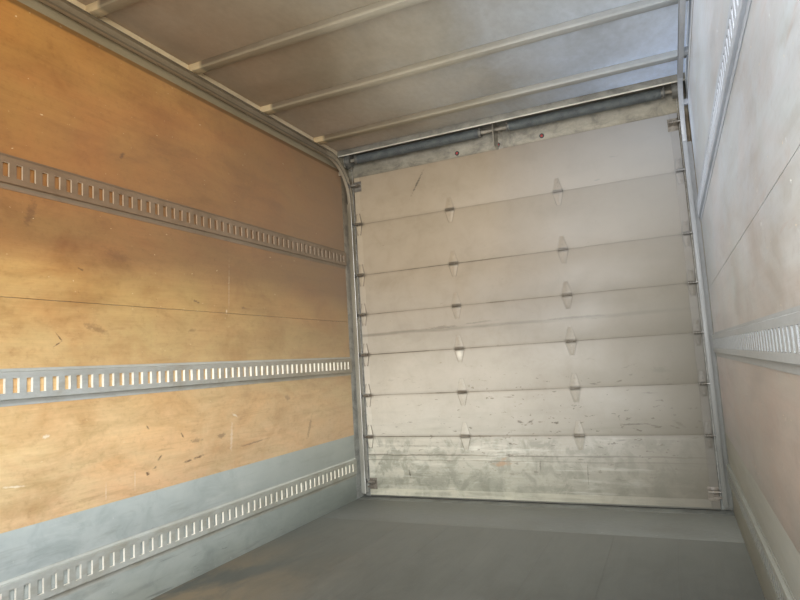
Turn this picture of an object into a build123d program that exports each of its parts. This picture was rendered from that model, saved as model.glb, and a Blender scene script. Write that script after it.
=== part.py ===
from build123d import *
from math import cos, radians, sin, sqrt
import os

# Cargo body of a box truck, in millimetres.
# X runs across, Y along the body with the rear door at +Y, and Z up.
# The body stands on its two long sills; the origin is under the middle of its box.

# Inside space
inner_width = 2407.0
inner_length = 4267.0
bow_clear_height = 2554.0

# Wall, floor and roof thicknesses
lining_thickness = 12.0
wall_core = 26.0
rail_stand = 8.0
front_core = 30.0
floor_thickness = 32.0
roof_thickness = 3.0

# Long sills and crossmembers
sill_height = 102.0
sill_flange = 51.0
sill_wall = 6.0
sill_spread = 864.0
cross_height = 76.0
cross_flange = 45.0
cross_wall = 5.0
cross_spacing = 406.4
first_cross = 150.0

# Floor boards, and the steel plate in front of the door
board_count = 8
board_gap = 1.5
plate_edge = 610.0

# Side wall lining
scuff_height = 458.0
seam_height = 1287.0
lining_drop = 106.0
sheet_length = 3048.0
sheet_gap = 2.0

# Outer rails
bottom_rail_drop = 6.0
bottom_rail_lip = 80.0
rib_depth = 5.0
rib_height = 16.0
roof_rail_lip = 48.0
edge_radius = 30.0

# Front corners
corner_leg = 120.0
corner_radius = 90.0
cap_height = 102.0
cap_chamfer = 15.0

# Rear frame
rear_depth = 60.0
post_reach = 100.0
post_cover = 25.0
header_height = 211.0
header_cover = 22.0
header_sheet = 4.0
header_reach = 135.0
header_lip_drop = 11.0
rear_sill_bottom = 60.0
rear_sill_wall = 8.0
rear_sill_flange = 60.0

# Roof bows
bow_depth = 38.0
bow_width = 50.0
bow_wall = 3.0
bow_spacing = 609.6
first_bow = 440.0

# Slotted logistics rails
slot_pitch = 50.8
slot_width = 24.0
slot_height = 54.0
slot_depth = 11.0
band_height = 96.0
band_stand = 13.0
flange_above = 62.0
flange_below = 72.0
flange_thickness = 2.5
rail_start_gap = 205.0

# Rail name, height of its centre over the floor, distance of its last slot from the door
logistics_rows = [
    ("low", 234.0, 164.0),
    ("middle", 965.0, 157.0),
    ("high", 1759.0, 149.0),
]

# Door
door_side_gap = 61.0
door_thickness = 22.0
door_bottom = 48.0
bottom_panel_height = 384.0
upper_panel_height = 393.0
top_panel_height = 370.0
middle_panel_count = 4
panel_gap = 1.5
lap_height = 8.0
cap_width = 45.0
cap_thickness = 1.6
strip_rise = 15.0
strip_lap = 15.0
seal_thickness = 6.0
seal_width = 18.0
bulb_chamfer = 7.0

# Hinges
hinge_column = 382.0
hinge_width = 63.0
hinge_tip = 22.0
hinge_leaf = 90.0
hinge_shoulder = 14.0
leaf_thickness = 3.0
barrel_radius = 7.0
barrel_clearance = 1.0
end_hinge_width = 42.0
end_hinge_leaf = 76.0

# Rollers and tracks
roller_offset = 27.0
roller_play = 0.25
roller_width = 13.0
stem_radius = 5.5
tube_radius = 9.0
fit_clearance = 0.05
track_height = 51.0
track_depth = 25.0
track_wall = 2.0
track_lip = 6.5
track_standoff = 24.0
track_radius = 305.0
track_bow_gap = 23.5
track_run = 2250.0
track_foot = 30.0
track_joint_gap = 0.5
track_bracket = 4.0
hanger_length = 40.0
hanger_height = 30.0
hanger_count = 4
bottom_roller_rise = 62.0
top_roller_drop = 73.0

# Counterbalance
shaft_radius = 12.7
shaft_overhang = 32.0
drum_radius = 48.0
drum_flange_radius = 56.0
drum_width = 38.0
drum_flange = 5.0
drum_edge_gap = 3.0
drum_roof_gap = 15.0
cable_radius = 2.0
cable_edge_gap = 6.0
cable_door_gap = 16.0
spring_radius = 33.0
spring_wire = 7.0
spring_centre_gap = 108.0
spring_drum_gap = 37.5
collar_length = 18.0
plate_thickness = 4.0
plate_reach = 34.0
plate_height = 100.0
foot_width = 32.0
foot_wall_gap = 3.0

# Corner fixtures
fixture_width = 60.0
fixture_height = 80.0
fixture_drop = 55.0
anchor_rise = 27.0
anchor_size = 10.0

# Latch on the outside of the bottom panel
latch_width = 180.0
latch_height = 140.0
latch_plate = 4.0
latch_rise = 142.0
boss_radius = 26.0
boss_length = 8.0
lever_length = 150.0
lever_width = 24.0
lever_thickness = 6.0

# Lamps and bumpers
lamp_proud = 12.0
oval_length = 165.0
oval_height = 57.0
marker_length = 100.0
marker_height = 30.0
id_spacing = 305.0
header_lamp_rise = 62.0
clearance_lamp_inset = 90.0
side_lamp_inset = 260.0
bumper_width = 250.0
bumper_height = 100.0
bumper_proud = 50.0
bumper_chamfer = 12.0
bumper_inset = 40.0

# Lamp distances from the middle, along the rear sill
tail_lamp_x = 845.0
reversing_lamp_x = 665.0

# Flat sides that stand for a round, on small parts that repeat
wheel_sides = 12
drum_sides = 16
spring_sides = 12
shaft_sides = 10
stem_sides = 6
half_tube_steps = 4
lamp_end_steps = 4

# Planes worked out from the sizes above
wall_in = inner_width / 2
lining_out = wall_in + lining_thickness
skin_out = lining_out + wall_core
body_out = skin_out + rail_stand
z_cross = sill_height
z_boards = z_cross + cross_height
z_floor = z_boards + floor_thickness
z_scuff = z_floor + scuff_height
z_seam = z_floor + seam_height
z_bow = z_floor + bow_clear_height
z_bow_top = z_bow + bow_depth
z_lining = z_bow - lining_drop
z_rail_bottom = z_cross - bottom_rail_drop
z_ledge = z_floor + bottom_rail_drop
front_depth = front_core + lining_thickness
body_length = front_depth + inner_length + rear_depth
y_front = lamp_proud - (lamp_proud + body_length + bumper_proud) / 2
y_rear = y_front + body_length
y_core = y_front + front_core
y_lining = y_front + front_depth
y_door = y_lining + inner_length
y_post = y_door - post_reach
y_plate = y_door - plate_edge
y_side = y_front + corner_leg
y_jamb = y_door + door_thickness + seal_thickness

# Door opening, the joints between its panels, and the places of its hardware
door_half = wall_in - door_side_gap
door_base = z_floor + door_bottom
z_strip = z_floor + strip_rise
z_header = z_bow_top - header_height
door_top = z_header + header_cover
middle_room = door_top - door_base - bottom_panel_height - upper_panel_height - top_panel_height
panel_heights = [bottom_panel_height] + middle_panel_count * [middle_room / middle_panel_count]
panel_heights += [upper_panel_height, top_panel_height]
z_joints = [door_base + sum(panel_heights[:n]) for n in range(len(panel_heights) + 1)]
y_roller = y_door - roller_offset
z_run = z_bow - track_bow_gap - track_height / 2
z_turn = z_run - track_radius
y_turn = y_roller - track_radius
x_web = wall_in - track_standoff
y_cable = y_door - cable_door_gap
x_cable = door_half + cable_edge_gap
y_shaft = y_cable - cable_radius - drum_radius
z_shaft = z_bow_top - drum_roof_gap - drum_flange_radius
x_drum = door_half + drum_width / 2


# Helpers

def block(x_low, x_high, y_low, y_high, z_low, z_high):
    size = (x_high - x_low, y_high - y_low, z_high - z_low)
    centre = ((x_low + x_high) / 2, (y_low + y_high) / 2, (z_low + z_high) / 2)
    return Pos(*centre) * Box(*size)


def bar_along_x(outline, x_low, x_high):
    face = make_face(Polyline(*[(x_low, y, z) for y, z in outline], close=True))
    return extrude(face, amount=x_high - x_low, dir=(1, 0, 0))


def bar_along_y(outline, y_low, y_high):
    face = make_face(Polyline(*[(x, y_low, z) for x, z in outline], close=True))
    return extrude(face, amount=y_high - y_low, dir=(0, 1, 0))


def bar_along_z(outline, z_low, z_high):
    face = make_face(Polyline(*[(x, y, z_low) for x, y in outline], close=True))
    return extrude(face, amount=z_high - z_low, dir=(0, 0, 1))


def rod_along_x(radius, sides, x_low, x_high, y, z):
    face = Pos(x_low, y, z) * (Plane.YZ * RegularPolygon(radius, sides))
    return extrude(face, amount=x_high - x_low, dir=(1, 0, 0))


def tube_along_x(radius, bore_radius, sides, x_low, x_high, y, z):
    outer = rod_along_x(radius, sides, x_low, x_high, y, z)
    return outer - rod_along_x(bore_radius, shaft_sides, x_low, x_high, y, z)


def both_sides(piece):
    return [piece, mirror(piece, Plane.YZ)]


def left_side(piece):
    return mirror(piece, Plane.YZ)


def save(name, pieces):
    solids = []
    for piece in pieces:
        solids += list(piece.solids())
    export_step(Compound(children=solids), f"parts/{name}.step")


# Under-structure

def long_sill():
    x_high = sill_spread / 2
    x_low = x_high - sill_flange
    x_web = x_high - sill_wall
    outline = [
        (x_low, 0),
        (x_high, 0),
        (x_high, sill_height),
        (x_low, sill_height),
        (x_low, sill_height - sill_wall),
        (x_web, sill_height - sill_wall),
        (x_web, sill_wall),
        (x_low, sill_wall),
    ]
    return bar_along_y(outline, y_core, y_post)


def crossmember(y):
    outline = [
        (y, z_cross),
        (y + cross_flange, z_cross),
        (y + cross_flange, z_cross + cross_wall),
        (y + cross_wall, z_cross + cross_wall),
        (y + cross_wall, z_boards - cross_wall),
        (y + cross_flange, z_boards - cross_wall),
        (y + cross_flange, z_boards),
        (y, z_boards),
    ]
    return bar_along_x(outline, -lining_out, lining_out)


def crossmember_places():
    y = y_front + first_cross
    while y + cross_flange < y_post:
        yield y
        y += cross_spacing


def floor_board(index):
    pitch = 2 * lining_out / board_count
    x_low = -lining_out + index * pitch + board_gap / 2
    return block(x_low, x_low + pitch - board_gap, y_core, y_plate, z_boards, z_floor)


def threshold_plate():
    # The steel plate and the board ends under it, as one thickness
    return block(-lining_out, lining_out, y_plate, y_post, z_boards, z_floor)


def front_sill():
    outline = [
        (y_front, z_rail_bottom),
        (y_core, z_rail_bottom),
        (y_core, z_ledge),
        (y_front + rail_stand, z_ledge),
        (y_front + rail_stand, z_floor + bottom_rail_lip),
        (y_front, z_floor + bottom_rail_lip),
    ]
    return bar_along_x(outline, corner_leg - body_out, body_out - corner_leg)


def rear_sill():
    y_in = y_rear - rear_sill_wall
    y_flange = y_rear - rear_sill_flange
    outline = [
        (y_post, z_floor),
        (y_post, z_floor - rear_sill_wall),
        (y_in, z_floor - rear_sill_wall),
        (y_in, rear_sill_bottom + rear_sill_wall),
        (y_flange, rear_sill_bottom + rear_sill_wall),
        (y_flange, rear_sill_bottom),
        (y_rear, rear_sill_bottom),
        (y_rear, z_floor),
    ]
    channel = bar_along_x(outline, -body_out, body_out)
    end = block(body_out - rear_sill_wall, body_out, y_post, y_in,
                rear_sill_bottom + rear_sill_wall, z_floor - rear_sill_wall)
    return channel + both_sides(end)


# Side walls

def bottom_rail():
    foot = [
        (body_out, z_floor + bottom_rail_lip),
        (skin_out, z_floor + bottom_rail_lip),
        (skin_out, z_ledge),
        (lining_out, z_ledge),
        (lining_out, z_rail_bottom),
        (body_out, z_rail_bottom),
    ]
    ribs = []
    for z_rib in (z_cross + rib_height, z_floor):
        ribs += [
            (body_out, z_rib),
            (body_out + rib_depth, z_rib + rib_depth),
            (body_out + rib_depth, z_rib + rib_height - rib_depth),
            (body_out, z_rib + rib_height),
        ]
    return bar_along_y(foot + ribs, y_side, y_post)


def side_wall():
    return block(lining_out, skin_out, y_side, y_post, z_ledge, z_lining)


def lining_sheets():
    y_seam = y_post - sheet_length
    spans = [(y_lining, y_seam - sheet_gap), (y_seam, y_post)]
    rows = [(z_scuff, z_seam - sheet_gap), (z_seam, z_lining)]
    return [block(wall_in, lining_out, *span, *row) for row in rows for span in spans]


def scuff_plate():
    return block(wall_in, lining_out, y_lining, y_post, z_floor, z_scuff)


def logistics_rail(height, last_slot):
    z = z_floor + height
    x_flange = wall_in - flange_thickness
    x_band = wall_in - band_stand
    outline = [
        (wall_in, z - flange_below),
        (wall_in, z + flange_above),
        (x_flange, z + flange_above),
        (x_flange, z + band_height / 2),
        (x_band, z + band_height / 2),
        (x_band, z - band_height / 2),
        (x_flange, z - band_height / 2),
        (x_flange, z - flange_below),
    ]
    y_start = y_lining + rail_start_gap
    bar = bar_along_y(outline, y_start, y_post)
    slot_count = int((y_door - last_slot - y_start) / slot_pitch)
    pockets = []
    for n in range(slot_count):
        y = y_door - last_slot - n * slot_pitch
        pockets.append(block(x_band, x_band + slot_depth, y - slot_width / 2, y + slot_width / 2,
                             z - slot_height / 2, z + slot_height / 2))
    return bar - pockets


def roof_rail():
    bar = block(wall_in, body_out, y_side, y_jamb, z_lining, z_bow_top)
    top_edge = bar.edges().filter_by(Axis.Y).sort_by(lambda e: e.center().X + e.center().Z)[-1]
    bar = fillet(top_edge, edge_radius)
    lip = block(skin_out, body_out, y_side, y_post, z_lining - roof_rail_lip, z_lining)
    return bar + lip


# Roof

def roof_bow(y):
    outline = [
        (y, z_bow),
        (y + bow_width, z_bow),
        (y + bow_width, z_bow_top),
        (y + bow_width - bow_wall, z_bow_top),
        (y + bow_width - bow_wall, z_bow + bow_wall),
        (y + bow_wall, z_bow + bow_wall),
        (y + bow_wall, z_bow_top),
        (y, z_bow_top),
    ]
    return bar_along_x(outline, -wall_in, wall_in)


def roof_bow_places():
    y = y_door - first_bow - bow_width / 2
    while y > y_lining + bow_width:
        yield y
        y -= bow_spacing


def roof_sheet():
    x_edge = body_out - edge_radius
    return block(-x_edge, x_edge, y_front + edge_radius, y_rear - edge_radius,
                 z_bow_top, z_bow_top + roof_thickness)


# Front

def corner_column(z_low, z_high):
    outline = [
        (body_out, y_front),
        (body_out, y_side),
        (lining_out, y_side),
        (lining_out, y_core),
        (body_out - corner_leg, y_core),
        (body_out - corner_leg, y_front),
    ]
    column = bar_along_z(outline, z_low, z_high)
    nose = column.edges().filter_by(Axis.Z).sort_by(lambda e: e.center().X - e.center().Y)[-1]
    return fillet(nose, corner_radius)


def sloped_top(z_low):
    # What stands over the front corner once its outer edges slope in at 45 degrees
    reach = 2 * corner_leg
    centre = Pos(body_out - reach / 2, y_front + reach / 2, z_low)
    base = centre * RectangleRounded(reach, reach, corner_radius)
    return extrude(base, amount=cap_chamfer, taper=45)


def corner_cap():
    z_slope = z_bow_top - cap_chamfer
    slope = corner_column(z_slope, z_bow_top) & sloped_top(z_slope)
    return corner_column(z_bow_top - cap_height, z_slope) + slope


def front_wall():
    return block(corner_leg - body_out, body_out - corner_leg, y_front + rail_stand, y_core,
                 z_ledge, z_bow_top - cap_height)


def front_lining():
    return block(-lining_out, lining_out, y_core, y_lining, z_floor, z_lining)


def front_top_rail():
    x_end = body_out - corner_leg
    bar = block(-x_end, x_end, y_front, y_core, z_bow_top - cap_height, z_bow_top)
    top_edge = bar.edges().filter_by(Axis.X).sort_by(lambda e: e.center().Z - e.center().Y)[-1]
    return chamfer(top_edge, cap_chamfer)


# Rear frame

def rear_post():
    outline = [
        (wall_in, y_post),
        (body_out, y_post),
        (body_out, y_rear),
        (door_half - post_cover, y_rear),
        (door_half - post_cover, y_jamb),
        (wall_in, y_jamb),
    ]
    post = bar_along_z(outline, z_floor, z_header)
    return post + block(wall_in, body_out, y_post, y_jamb, z_header, z_lining)


def rear_header():
    plate = block(-body_out, body_out, y_jamb, y_rear, z_header, z_bow_top)
    ends = plate.edges().filter_by(Axis.Y).sort_by(Axis.Z)[-2:]
    plate = fillet(ends, edge_radius)
    y_lip = y_door - header_reach
    top = block(-wall_in, wall_in, y_lip, y_jamb, z_bow_top - header_sheet, z_bow_top)
    lip = block(-wall_in, wall_in, y_lip, y_lip + header_sheet,
                z_bow - header_lip_drop, z_bow_top - header_sheet)
    return plate + top + lip


# Door

def door_panel(index):
    z_low = z_joints[index]
    z_high = z_joints[index + 1]
    y_mid = y_door + door_thickness / 2
    y_out = y_door + door_thickness
    low_lap = lap_height if index > 0 else 0.0
    high_lap = lap_height if index < len(panel_heights) - 1 else 0.0
    outline = [
        (y_door, z_low + panel_gap),
        (y_mid, z_low + panel_gap),
        (y_mid, z_low + panel_gap - low_lap),
        (y_out, z_low + panel_gap - low_lap),
        (y_out, z_high - high_lap),
        (y_mid, z_high - high_lap),
        (y_mid, z_high),
        (y_door, z_high),
    ]
    if low_lap == 0.0:
        outline[1:3] = []
    if high_lap == 0.0:
        outline[-3:-1] = []
    return bar_along_x(outline, -door_half, door_half)


def edge_caps():
    # Caps down both edges of each panel, and between the lowest two the strip that holds the bottom seal
    caps = []
    cap_feet = [z_strip] + [z + panel_gap for z in z_joints[1:-1]]
    for z_low, z_high in zip(cap_feet, z_joints[1:]):
        cap = block(door_half - cap_width, door_half, y_door - cap_thickness, y_door, z_low, z_high)
        caps += both_sides(cap)
    strip_end = door_half - cap_width - panel_gap
    caps.append(block(-strip_end, strip_end, y_door - cap_thickness, y_door,
                      z_strip, door_base + strip_lap))
    return caps


def hinge_leaf_pair(x, z, width, length, y_back):
    half = width / 2
    tip = hinge_tip / 2
    outline = [
        (x - tip, z - length),
        (x + tip, z - length),
        (x + half, z - hinge_shoulder),
        (x + half, z + hinge_shoulder),
        (x + tip, z + length),
        (x - tip, z + length),
        (x - half, z + hinge_shoulder),
        (x - half, z - hinge_shoulder),
    ]
    return bar_along_y(outline, y_back - leaf_thickness, y_back)


def centre_hinge(x, z):
    leaves = hinge_leaf_pair(x, z, hinge_width, hinge_leaf, y_door)
    barrel = rod_along_x(barrel_radius, stem_sides, x - hinge_width / 2, x + hinge_width / 2,
                         y_door - barrel_radius - barrel_clearance, z)
    return leaves + barrel


def roller_holder(x_low, y_axis, y_back, z):
    # A tube round the roller's stem, on a web that stands on the leaf or plate behind it
    outline = [(y_back, z - tube_radius)]
    for n in range(half_tube_steps + 1):
        angle = radians(270 - n * 180 / half_tube_steps)
        outline.append((y_axis + tube_radius * cos(angle), z + tube_radius * sin(angle)))
    outline.append((y_back, z + tube_radius))
    bore = rod_along_x(stem_radius + fit_clearance, stem_sides, x_low, door_half, y_axis, z)
    return bar_along_x(outline, x_low, door_half) - bore


def end_hinge(z):
    x_low = door_half - end_hinge_width
    y_back = y_door - cap_thickness
    leaves = hinge_leaf_pair(x_low + end_hinge_width / 2, z, end_hinge_width, end_hinge_leaf, y_back)
    return leaves + roller_holder(x_low, y_roller, y_back - leaf_thickness, z)


def top_roller_place():
    z = door_top - top_roller_drop
    rise = max(z - z_turn, 0)
    return y_turn + sqrt(track_radius ** 2 - rise ** 2), z


def bottom_roller_place():
    return y_roller, door_base + bottom_roller_rise


def roller(y, z):
    x_wheel = x_web - roller_width - track_lip / 2
    radius = track_height / 2 - track_wall - roller_play
    wheel = rod_along_x(radius, wheel_sides, x_wheel, x_wheel + roller_width, y, z)
    stem = rod_along_x(stem_radius, stem_sides, door_half - end_hinge_width, x_wheel, y, z)
    return wheel + stem


def corner_fixture(y_axis, z, drop):
    x_low = door_half - fixture_width
    y_back = y_door - cap_thickness
    plate = block(x_low, door_half, y_back - leaf_thickness, y_back, z - drop, z - drop + fixture_height)
    return plate + roller_holder(x_low, y_axis, y_back - leaf_thickness, z)


def bottom_fixture():
    z = door_base + anchor_rise
    anchor = block(door_half - fixture_width / 2, x_cable + cable_edge_gap,
                   y_cable - anchor_size / 2, y_door - cap_thickness - leaf_thickness,
                   z - anchor_size / 2, z + anchor_size / 2)
    return corner_fixture(*bottom_roller_place(), fixture_drop) + anchor


def top_fixture():
    return corner_fixture(*top_roller_place(), fixture_height / 2)


# Tracks

def track_outline():
    # depth from the web, offset from the centre line
    half = track_height / 2
    return [
        (0, -half),
        (track_depth, -half),
        (track_depth, -half + track_lip),
        (track_depth - track_wall, -half + track_lip),
        (track_depth - track_wall, -half + track_wall),
        (track_wall, -half + track_wall),
        (track_wall, half - track_wall),
        (track_depth - track_wall, half - track_wall),
        (track_depth - track_wall, half - track_lip),
        (track_depth, half - track_lip),
        (track_depth, half),
        (0, half),
    ]


def upright_track():
    z_low = z_floor + track_foot
    z_high = z_turn - track_joint_gap
    track = bar_along_z([(x_web - d, y_roller + o) for d, o in track_outline()], z_low, z_high)
    return track + block(x_web, wall_in, y_roller, y_roller + track_bracket, z_low, z_high)


def track_bend():
    corners = [(x_web - d, y_roller + o, z_turn) for d, o in track_outline()]
    bend = revolve(make_face(Polyline(*corners, close=True)),
                   Axis((0, y_turn, z_turn), (1, 0, 0)), revolution_arc=90)
    y_ear = y_turn + track_radius / sqrt(2)
    z_ear = z_turn + track_radius / sqrt(2)
    return bend + block(x_web, wall_in, y_ear - hanger_height / 2, y_ear + hanger_height / 2,
                        z_ear - hanger_height / 2, z_ear + hanger_height / 2)


def track_overhead():
    y_end = y_turn - track_run
    outline = [(x_web - d, z_run + o) for d, o in track_outline()]
    track = bar_along_y(outline, y_end, y_turn - track_joint_gap)
    for n in range(hanger_count):
        y = y_end + (n + 0.5) * track_run / hanger_count
        track += block(x_web, wall_in, y - hanger_length / 2, y + hanger_length / 2,
                       z_run - hanger_height / 2, z_run + hanger_height / 2)
    return track


# Counterbalance

def spring_shaft():
    reach = door_half + shaft_overhang
    return rod_along_x(shaft_radius, shaft_sides, -reach, reach, y_shaft, z_shaft)


def spring_outer_end():
    return x_drum - drum_width - spring_drum_gap - collar_length


def spring():
    return tube_along_x(spring_radius, spring_radius - spring_wire, spring_sides,
                        spring_centre_gap, spring_outer_end(), y_shaft, z_shaft)


def collar(x_low):
    return tube_along_x(spring_radius, shaft_radius + fit_clearance, spring_sides,
                        x_low, x_low + collar_length, y_shaft, z_shaft)


def drum():
    x_flange = x_drum - drum_flange
    bore = shaft_radius + fit_clearance
    barrel = tube_along_x(drum_radius, bore, drum_sides, x_drum - drum_width, x_flange, y_shaft, z_shaft)
    return barrel + tube_along_x(drum_flange_radius, bore, drum_sides, x_flange, x_drum, y_shaft, z_shaft)


def bearing_plate(x, x_foot, z_low):
    plate = block(x, x + plate_thickness, y_shaft - plate_reach, y_jamb, z_low, z_bow_top - header_sheet)
    foot = block(x + plate_thickness, x_foot, y_jamb - plate_thickness, y_jamb,
                 z_low, z_shaft + plate_height / 2)
    bore = rod_along_x(shaft_radius + fit_clearance, shaft_sides, x, x + plate_thickness, y_shaft, z_shaft)
    return plate + foot - bore


def bearing_plates():
    end = bearing_plate(x_drum + drum_edge_gap, wall_in - foot_wall_gap, z_shaft - plate_height / 2)
    x_centre = -plate_thickness / 2
    centre = bearing_plate(x_centre, x_centre + plate_thickness + foot_width, door_top + panel_gap)
    return both_sides(end) + [centre]


def lift_cable():
    z_low = door_base + anchor_rise + anchor_size / 2
    face = Pos(x_cable, y_cable, z_low) * RegularPolygon(cable_radius, stem_sides)
    return extrude(face, amount=z_shaft - z_low)


# Seals, latch, lamps and bumpers

def seals():
    y_out = y_door + door_thickness
    side = block(door_half - post_cover, door_half - post_cover + seal_width, y_out, y_jamb,
                 z_floor, z_header)
    top = block(-door_half, door_half, y_out, y_jamb, z_header, door_top)
    bulb = block(-door_half, door_half, y_door, y_out, z_floor, door_base + panel_gap)
    bulb = chamfer(bulb.edges().filter_by(Axis.X).sort_by(Axis.Z)[:2], bulb_chamfer)
    return both_sides(side) + [top, bulb]


def latch():
    y_out = y_door + door_thickness
    y_boss = y_out + latch_plate
    y_lever = y_boss + boss_length
    z = door_base + latch_rise
    plate = block(-latch_width / 2, latch_width / 2, y_out, y_boss,
                  z - latch_height / 2, z + latch_height / 2)
    face = Pos(0, y_boss, z) * (Plane.XZ * RegularPolygon(boss_radius, wheel_sides))
    boss = extrude(face, amount=boss_length, dir=(0, 1, 0))
    lever = block(-lever_width / 2, lever_length - lever_width / 2, y_lever, y_lever + lever_thickness,
                  z - lever_width / 2, z + lever_width / 2)
    return plate + boss + lever


def lamp_outline(centre, z, length, height):
    # A bar with round ends, along X or Y by what the centre stands for
    outline = []
    for end in (1, -1):
        for n in range(lamp_end_steps + 1):
            angle = radians(n * 180 / lamp_end_steps - 90)
            along = (length - height) / 2 + height / 2 * cos(angle)
            outline.append((centre + end * along, z + end * height / 2 * sin(angle)))
    return outline


def rear_lamp(x, z, length, height):
    return bar_along_y(lamp_outline(x, z, length, height), y_rear, y_rear + lamp_proud)


def front_lamp(x, z, length, height):
    return bar_along_y(lamp_outline(x, z, length, height), y_front - lamp_proud, y_front)


def side_lamp(y):
    z = z_floor + bottom_rail_lip / 2 + rib_height / 2
    return bar_along_x(lamp_outline(y, z, marker_length, marker_height), body_out, body_out + lamp_proud)


def red_lamps():
    z_sill = (rear_sill_bottom + z_floor) / 2
    z_top = z_header + header_lamp_rise
    x_end = body_out - clearance_lamp_inset
    lamps = [rear_lamp(x, z_top, marker_length, marker_height)
             for x in (-x_end, -id_spacing, 0, id_spacing, x_end)]
    lamps += both_sides(rear_lamp(tail_lamp_x, z_sill, oval_length, oval_height))
    return lamps + both_sides(side_lamp(y_post - side_lamp_inset))


def reversing_lamps():
    z_sill = (rear_sill_bottom + z_floor) / 2
    return both_sides(rear_lamp(reversing_lamp_x, z_sill, oval_length, oval_height))


def amber_lamps():
    z_top = z_bow_top - cap_height / 2
    x_end = body_out - corner_leg - clearance_lamp_inset
    lamps = [front_lamp(x, z_top, marker_length, marker_height)
             for x in (-x_end, -id_spacing, 0, id_spacing, x_end)]
    return lamps + both_sides(side_lamp(y_side + side_lamp_inset))


def dock_bumper():
    x_high = body_out - bumper_inset
    z_low = (rear_sill_bottom + z_floor - bumper_height) / 2
    bumper = block(x_high - bumper_width, x_high, y_rear, y_rear + bumper_proud,
                   z_low, z_low + bumper_height)
    return chamfer(bumper.faces().sort_by(Axis.Y)[-1].edges(), bumper_chamfer)


# Write one file for each sub-part

os.makedirs("parts", exist_ok=True)

save("long_sills", both_sides(long_sill()))
save("crossmembers", [crossmember(y) for y in crossmember_places()])
save("front_sill", [front_sill()])
save("rear_sill", [rear_sill()])
save("floor_boards", [floor_board(n) for n in range(board_count)])
save("threshold_plate", [threshold_plate()])
save("bottom_rails", both_sides(bottom_rail()))
save("side_wall_right", [side_wall()])
save("side_wall_left", [left_side(side_wall())])
save("plywood_lining_right", lining_sheets())
save("plywood_lining_left", [left_side(sheet) for sheet in lining_sheets()])
save("scuff_plates", both_sides(scuff_plate()))
rails = [logistics_rail(height, last_slot) for name, height, last_slot in logistics_rows]
save("logistics_rails_right", rails)
save("logistics_rails_left", [left_side(rail) for rail in rails])
save("roof_rails", both_sides(roof_rail()))
save("roof_bows", [roof_bow(y) for y in roof_bow_places()])
save("roof_sheet", [roof_sheet()])
save("front_wall", [front_wall()])
save("front_lining", [front_lining()])
save("front_corner_posts", both_sides(corner_column(z_rail_bottom, z_bow_top - cap_height)))
save("corner_caps", both_sides(corner_cap()))
save("front_top_rail", [front_top_rail()])
save("rear_post_right", [rear_post()])
save("rear_post_left", [left_side(rear_post())])
save("rear_header", [rear_header()])
for index in range(len(panel_heights)):
    save(f"door_panel_{index + 1}", [door_panel(index)])
save("door_edge_caps", edge_caps())
save("centre_hinges", [centre_hinge(x, z) for z in z_joints[1:-1] for x in (-hinge_column, hinge_column)])
end_hinges = []
for z in z_joints[1:-1]:
    end_hinges += both_sides(end_hinge(z))
save("end_hinges", end_hinges)
rollers = []
for y, z in [(y_roller, z) for z in z_joints[1:-1]] + [bottom_roller_place(), top_roller_place()]:
    rollers += both_sides(roller(y, z))
save("rollers", rollers)
tracks = [upright_track(), track_bend(), track_overhead()]
save("door_track_right", tracks)
save("door_track_left", [left_side(track) for track in tracks])
save("spring_shaft", [spring_shaft()])
save("counter_springs", both_sides(spring()))
collars = both_sides(collar(spring_centre_gap - collar_length)) + both_sides(collar(spring_outer_end()))
save("cable_drums", both_sides(drum()) + collars)
save("bearing_plates", bearing_plates())
save("lift_cables", both_sides(lift_cable()))
save("corner_fixtures", both_sides(bottom_fixture()) + both_sides(top_fixture()))
save("door_seals", seals())
save("door_latch", [latch()])
save("red_lamps", red_lamps())
save("reversing_lamps", reversing_lamps())
save("amber_lamps", amber_lamps())
save("dock_bumpers", both_sides(dock_bumper()))
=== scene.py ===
# %% [markdown]
# # The load space of a box truck
# The body of a box truck is a hollow box that stands on two long sills. We look into it from its
# front corner, towards the closed roll-up door. The CAD model gives every true size. This lesson
# dresses it: it gives each piece the finish of the real one, and models again, in finer shape, the
# pieces whose edges, slots, coils and bolts the eye expects to see.
#
# We start by loading the CAD model. Nothing we add may stand outside it.

# %% Load the frame
import bpy
import math
from mathutils import Matrix, Vector


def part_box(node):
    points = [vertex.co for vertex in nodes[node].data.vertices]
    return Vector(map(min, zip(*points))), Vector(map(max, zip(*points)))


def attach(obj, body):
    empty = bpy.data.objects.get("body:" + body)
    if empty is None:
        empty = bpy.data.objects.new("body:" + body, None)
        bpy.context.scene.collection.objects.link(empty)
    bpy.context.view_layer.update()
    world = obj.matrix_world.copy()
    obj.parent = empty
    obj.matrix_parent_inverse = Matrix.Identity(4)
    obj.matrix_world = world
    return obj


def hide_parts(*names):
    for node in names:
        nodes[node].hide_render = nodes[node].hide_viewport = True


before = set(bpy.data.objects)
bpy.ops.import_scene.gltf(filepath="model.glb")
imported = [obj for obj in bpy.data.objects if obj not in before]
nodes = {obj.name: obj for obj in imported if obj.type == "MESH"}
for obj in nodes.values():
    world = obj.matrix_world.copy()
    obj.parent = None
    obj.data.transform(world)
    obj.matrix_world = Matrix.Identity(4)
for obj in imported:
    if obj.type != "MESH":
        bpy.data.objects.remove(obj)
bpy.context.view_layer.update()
print("CAD nodes:", len(nodes))

# %% [markdown]
# ## Measures taken from the frame
# A new piece has to sit exactly where its CAD solid is. We read the boxes of a few nodes and give
# the planes we need plain names, so that no place is guessed. X runs across, Y along the body to
# the rear door, and Z up, all in metres.

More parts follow.
